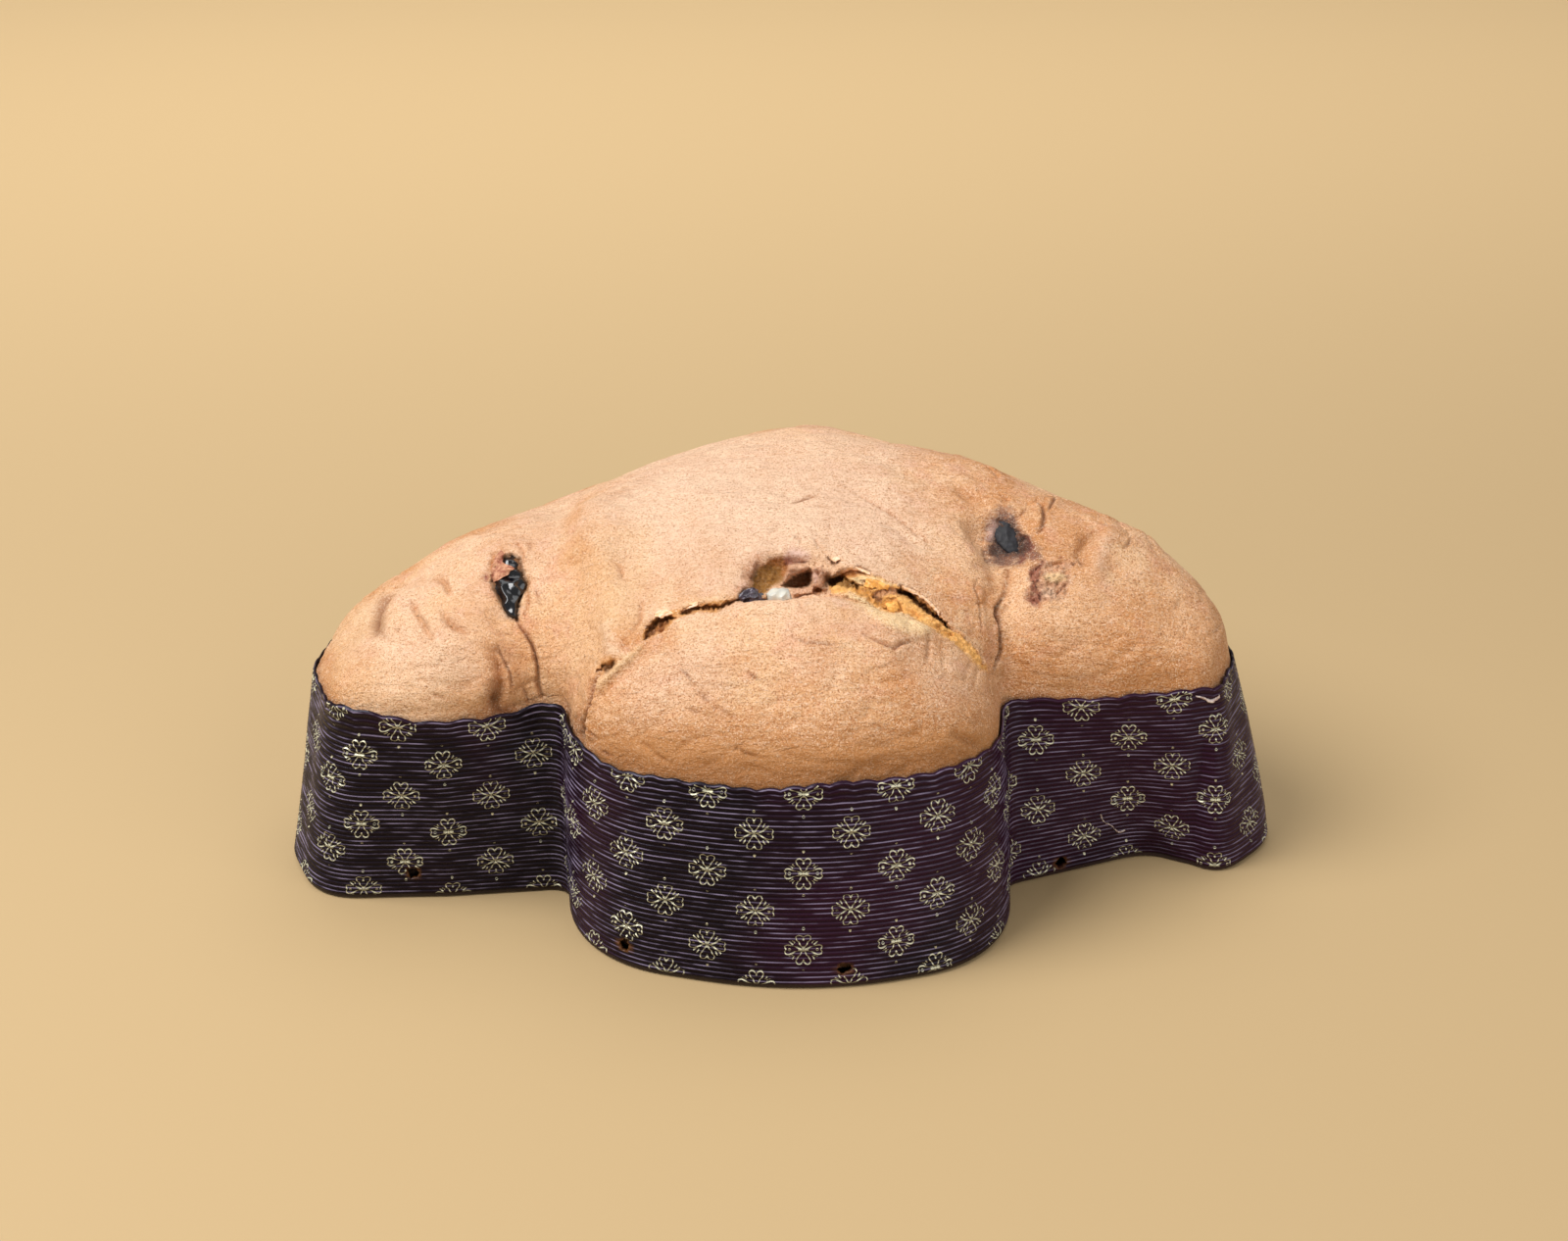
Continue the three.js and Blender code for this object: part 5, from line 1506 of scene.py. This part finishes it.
def glossy_material(name, colour, light, rough, coat=0.5, pitted=0.5):
    m = Recipe(name)
    base = m.mix(m.ramp(m.noise(500, 3, 0.6), 0.4, 0.7, 0, 0.7), colour, light)
    roughness = m.ramp(m.noise(900, 2), 0.3, 0.7, rough, rough + 0.15)
    relief = m.bump(m.noise(1100, 3, 0.6), 0.0003, pitted)
    m.set(Coat_Weight=coat, Coat_Roughness=0.1, Specular_IOR_Level=0.6)
    return m.finish(base, roughness, relief)


class COLOMBA_OT_fruit(bpy.types.Operator):
    """Adds the raisins, and the fruit in the split"""

    bl_idname = "colomba.fruit"
    bl_label = "Fruit"

    def execute(self, context):
        fruit = context.scene.colomba_fruit
        raisin = glossy_material("raisin_skin", fruit.raisin, fruit.raisin_light, 0.04, 0.4, 0.15)
        burnt = glossy_material("burnt_skin", fruit.burnt, fruit.burnt_light, 0.6, 0.04)
        purple = glossy_material("dried_fruit", fruit.dried_fruit, fruit.dried_light, 0.25)
        cloudy = glossy_material("candied_peel", fruit.peel, fruit.peel_light, 0.25)
        crust = tree_of(bpy.data.objects["baked_cake"])
        top = depth_at(crust, (495, 570), (545, 570)) - 1.6 * MM
        bottom = depth_at(crust, (505, 628), (542, 628)) - 1.4 * MM
        piece("wrinkled_raisin", lump_mesh("raisin_left", top, bottom), raisin, ("raisin_left",))
        top = depth_at(crust, (1024, 531)) - 0.1 * MM
        bottom = depth_at(crust, (1034, 564)) - 0.1 * MM
        piece("scorched_raisin", lump_mesh("raisin_right", top, bottom), burnt, ("raisin_right",))
        for name, node, material in (
            ("purple_fruit", "dried_fruit", purple), ("pale_peel", "candied_peel", cloudy)
        ):
            front = front_of(node)
            piece(name, lump_mesh(node, front, front), material, (node,))
        return {"FINISHED"}


# ---------------------------------------------------------------- torn skins

# Thin torn skins of each finish: two edges by the photograph's pixels, each point with its height in
# millimetres above what shows there. A skin runs from its first edge, where it grows from the crust, to
# its second, which is free. A draped skin lies on what shows between them.
SKINS = {
    "stained_skin": [
        ([(511, 560, 0.1), (505, 568, 0.1), (501, 578, 0.1), (500, 586, 0.1), (503, 594, 0.2)],
         [(516, 566, 0.5), (514, 574, 0.6), (524, 578, 0.7), (520, 585, 0.6), (508, 592, 0.4)]),
    ],
    "torn_crust": [
        ([(852, 586, 0.0), (861, 580, 0.0), (872, 578, 0.0), (888, 583, 0.0)],
         [(853, 589, 0.8), (862, 584, 1.0), (873, 582, 1.0), (888, 586, 0.6)]),
        ([(845, 566, 0.0), (851, 567, 0.0), (858, 569, 0.0)],
         [(846, 570, 0.8), (851, 573, 0.9), (857, 571, 0.7)]),
        ([(920, 597, 0.0), (935, 603, 0.0), (949, 613, 0.0), (959, 624, 0.0)],
         [(920, 601, 0.8), (934, 607, 0.8), (947, 616, 0.8), (958, 628, 0.6)]),
        ([(668, 624, 0.0), (682, 620, 0.0), (698, 616, 0.0), (712, 613, 0.0)],
         [(668, 630, 0.9), (683, 627, 1.0), (698, 622, 0.9), (712, 617, 0.7)]),
    ],
    "torn_crumb": [
        ([(884, 590, 0.3), (896, 592, 0.3), (908, 597, 0.3)],
         [(882, 598, 0.9), (894, 600, 0.9), (906, 602, 0.7)]),
        ([(903, 616, 0.2), (909, 612, 0.2), (915, 612, 0.2)],
         [(908, 624, 0.9), (914, 624, 1.0), (919, 621, 0.8)]),
    ],
    "torn_paper": [
        ([(1220, 709, 0.1), (1228, 711, 0.1), (1236, 713, 0.1), (1244, 708, 0.1)],
         [(1222, 711, 0.5), (1229, 714, 0.6), (1236, 717, 0.6), (1245, 712, 0.4)]),
        ([(1123, 831, 0.3), (1126, 838, 0.3), (1134, 843, 0.3), (1141, 849, 0.3), (1148, 847, 0.3)],
         [(1123.4, 831, 0.35), (1126.4, 837.6, 0.35), (1134.3, 842.6, 0.35), (1141.3, 848.6, 0.35),
          (1148.2, 846.6, 0.35)]),
    ],
}
DRAPED = ("stained_skin",)
SKIN_STEP = 0.3 * MM
SKIN_THICKNESS = 0.3 * MM


def showing(trees, u, v, lift):
    """The point of the finished pieces that shows at a pixel, brought lift millimetres towards the lens."""
    sight = sight_line(u, v)
    hits = [tree.ray_cast(EYE, sight) for tree in trees]
    return EYE + sight * (min(hit[3] for hit in hits if hit[0]) - lift * MM)


def curve_point(corners, share):
    """A point on a smooth curve through corners, share of the way along."""
    at = share * (len(corners) - 1)
    k = min(int(at), len(corners) - 2)
    t = at - k
    before, after = corners[max(k - 1, 0)], corners[min(k + 2, len(corners) - 1)]
    slope_in, slope_out = (corners[k + 1] - before) / 2, (after - corners[k]) / 2
    rise = t * t * (3 - 2 * t)
    return (corners[k] * (1 - rise) + corners[k + 1] * rise
            + slope_in * (t**3 - 2 * t * t + t) + slope_out * (t**3 - t * t))


def skin_mesh(trees, finish):
    """All the torn skins of one finish, each a grid drawn between its two edges and given a thickness."""
    bm = bmesh.new()
    for skin in SKINS[finish]:
        edges = [[showing(trees, *spot) for spot in side] for side in skin]
        long = max(sum((b - a).length for a, b in zip(edge, edge[1:])) for edge in edges)
        wide = sum((a - b).length for a, b in zip(*edges)) / len(edges[0])
        lengthwise, crosswise = max(4, round(long / SKIN_STEP)), max(3, round(wide / SKIN_STEP))
        made = bmesh.ops.create_grid(bm, x_segments=lengthwise, y_segments=crosswise, size=0.5)
        grid = made["verts"]
        for vert in grid:
            along, across = vert.co.x + 0.5, vert.co.y + 0.5
            start, end = (curve_point(edge, along) for edge in edges)
            tooth = noise.noise(end / (1.1 * MM)) + 0.5 * noise.noise(end / (0.5 * MM))
            spot = start.lerp(end, across * (1 + 0.3 * tooth * across))
            swell = 0.25 * math.sin(math.pi * min(across, 1)) + 0.15 * noise.noise(spot / (0.9 * MM))
            if finish in DRAPED:
                u, v = pixels_of(np.array([spot]))
                spot = showing(trees, u[0], v[0], 0.15 + 0.5 * across)
            vert.co = spot + BACKWARD * MM * swell
        smooth(bm, grid, 6 if finish in DRAPED else 0)
    bm.normal_update()
    bmesh.ops.reverse_faces(bm, faces=[face for face in bm.faces if face.normal.dot(BACKWARD) < 0])
    bmesh.ops.solidify(bm, geom=bm.faces[:], thickness=SKIN_THICKNESS)
    bmesh.ops.recalc_face_normals(bm, faces=bm.faces)
    return mesh_from(bm, finish)


def skin_material(name, colour, dark, light):
    m = Recipe(name)
    base = m.mix(m.ramp(m.noise(900, 3, 0.6), 0.42, 0.62), colour, light)
    base = m.mix(m.ramp(m.noise(500, 3, 0.7, distortion=0.5), 0.52, 0.36, 0, 0.7), base, dark)
    m.set(Specular_IOR_Level=0.35, Roughness=0.6)
    return m.finish(base, None, m.bump(m.noise(1500, 3, 0.6), 0.0004, 0.6))


class COLOMBA_OT_skins(bpy.types.Operator):
    """Adds the thin skins torn loose round the split, the raisin and the rim"""

    bl_idname = "colomba.skins"
    bl_label = "Torn skins"

    def execute(self, context):
        settings = context.scene.colomba_crust
        context.view_layer.update()
        below = ("baked_cake", "wrinkled_raisin", "purple_fruit", "pale_peel", "corrugated_case")
        trees = [tree_of(bpy.data.objects[name]) for name in below]
        for finish, tone, dark, light in (
            ("torn_paper", (0.72, 0.58, 0.54), (0.42, 0.28, 0.27), (0.86, 0.78, 0.72)),
            ("torn_crust", settings.peach, settings.bake, settings.bloom_and_highlight),
            ("stained_skin", (0.44, 0.19, 0.10), settings.ruby, settings.rosy),
            ("torn_crumb", settings.ochre, settings.rust, settings.crumb),
        ):
            material = skin_material(finish + "_finish", tone, dark, light)
            piece(finish, skin_mesh(trees, finish), material)
        return {"FINISHED"}


# ---------------------------------------------------------------- stage


def area_light(name, place, power, size, colour=(1, 1, 1)):
    data = bpy.data.lights.new(name, "AREA")
    data.energy = power
    data.shape = "DISK"
    data.size = size
    data.color = colour
    light = bpy.data.objects.new(name, data)
    light.location = place
    light.rotation_euler = (Vector(place) - Vector((0, 0, 0.05))).to_track_quat("Z", "Y").to_euler()
    bpy.context.scene.collection.objects.link(light)


class COLOMBA_OT_stage(bpy.types.Operator):
    """Adds the floor, the lights and the photograph's camera"""

    bl_idname = "colomba.stage"
    bl_label = "Stage"

    def execute(self, context):
        settings = context.scene.colomba_stage
        bm = bmesh.new()
        bmesh.ops.create_grid(bm, x_segments=1, y_segments=1, size=4)
        mesh = mesh_from(bm, "floor")
        m = Recipe("floor_paint")
        m.set(Roughness=0.8)
        rearward = m.tree.nodes.new("ShaderNodeTexGradient")
        m.link(m.stretched((0.5, 0.5, 0.5), (0, 0, -math.pi / 2)), rearward.inputs["Vector"])
        far = tuple(min(1.0, c * 1.7) for c in settings.floor)
        rear_share = m.ramp(rearward.outputs["Fac"], 0.05, 0.5)
        mesh.materials.append(m.finish(m.mix(rear_share, settings.floor, far)))
        floor = bpy.data.objects.new("floor", mesh)
        context.scene.collection.objects.link(floor)

        area_light("key", (-0.85, -0.35, 1.3), settings.key_power, 1.0)
        area_light("fill", (1.0, -1.0, 0.8), settings.fill_power, 1.4)
        area_light("top", (0.1, 0.5, 1.5), settings.top_power, 1.4)
        context.scene.view_settings.view_transform = "Standard"  # the finishes' own colours, not film tones
        world = bpy.data.worlds.new("studio")
        world.use_nodes = True
        background = world.node_tree.nodes["Background"].inputs
        background["Color"].default_value = (0.95, 0.94, 0.92, 1)
        background["Strength"].default_value = 0.34
        context.scene.world = world

        data = bpy.data.cameras.new("camera")
        data.sensor_width = SENSOR
        data.lens = SENSOR * FOCAL_PIXELS / PICTURE_WIDTH
        data.shift_y = (AIM_PIXEL[1] - PICTURE_HEIGHT / 2) / PICTURE_WIDTH
        camera = bpy.data.objects.new("camera", data)
        camera.location = EYE
        camera.rotation_euler = (math.pi / 2 - ELEVATION, 0, 0)
        context.scene.collection.objects.link(camera)
        context.scene.camera = camera
        return {"FINISHED"}


# ---------------------------------------------------------------- add-on


class COLOMBA_PT_panel(bpy.types.Panel):
    """Lists the pieces of the cake"""

    bl_idname = "COLOMBA_PT_panel"
    bl_label = "Colomba cake"
    bl_space_type = "VIEW_3D"
    bl_region_type = "UI"
    bl_category = "Colomba"

    def draw(self, context):
        for operator in OPERATORS:
            self.layout.operator(operator.bl_idname)


OPERATORS = (COLOMBA_OT_stage, COLOMBA_OT_cake, COLOMBA_OT_paper_case, COLOMBA_OT_fruit, COLOMBA_OT_skins)
SETTINGS = {
    "colomba_crust": CrustSettings,
    "colomba_case": CaseSettings,
    "colomba_fruit": FruitSettings,
    "colomba_stage": StageSettings,
}


def register():
    for group in SETTINGS.values():
        bpy.utils.register_class(group)
    for name, group in SETTINGS.items():
        setattr(bpy.types.Scene, name, PointerProperty(type=group))
    for operator in OPERATORS:
        bpy.utils.register_class(operator)
    bpy.utils.register_class(COLOMBA_PT_panel)


def unregister():
    bpy.utils.unregister_class(COLOMBA_PT_panel)
    for operator in reversed(OPERATORS):
        bpy.utils.unregister_class(operator)
    for name, group in SETTINGS.items():
        delattr(bpy.types.Scene, name)
        bpy.utils.unregister_class(group)


def main():
    register()
    bpy.ops.colomba.stage()
    bpy.ops.colomba.cake()
    bpy.ops.colomba.paper_case()
    bpy.ops.colomba.fruit()
    bpy.ops.colomba.skins()


if __name__ == "__main__":
    main()
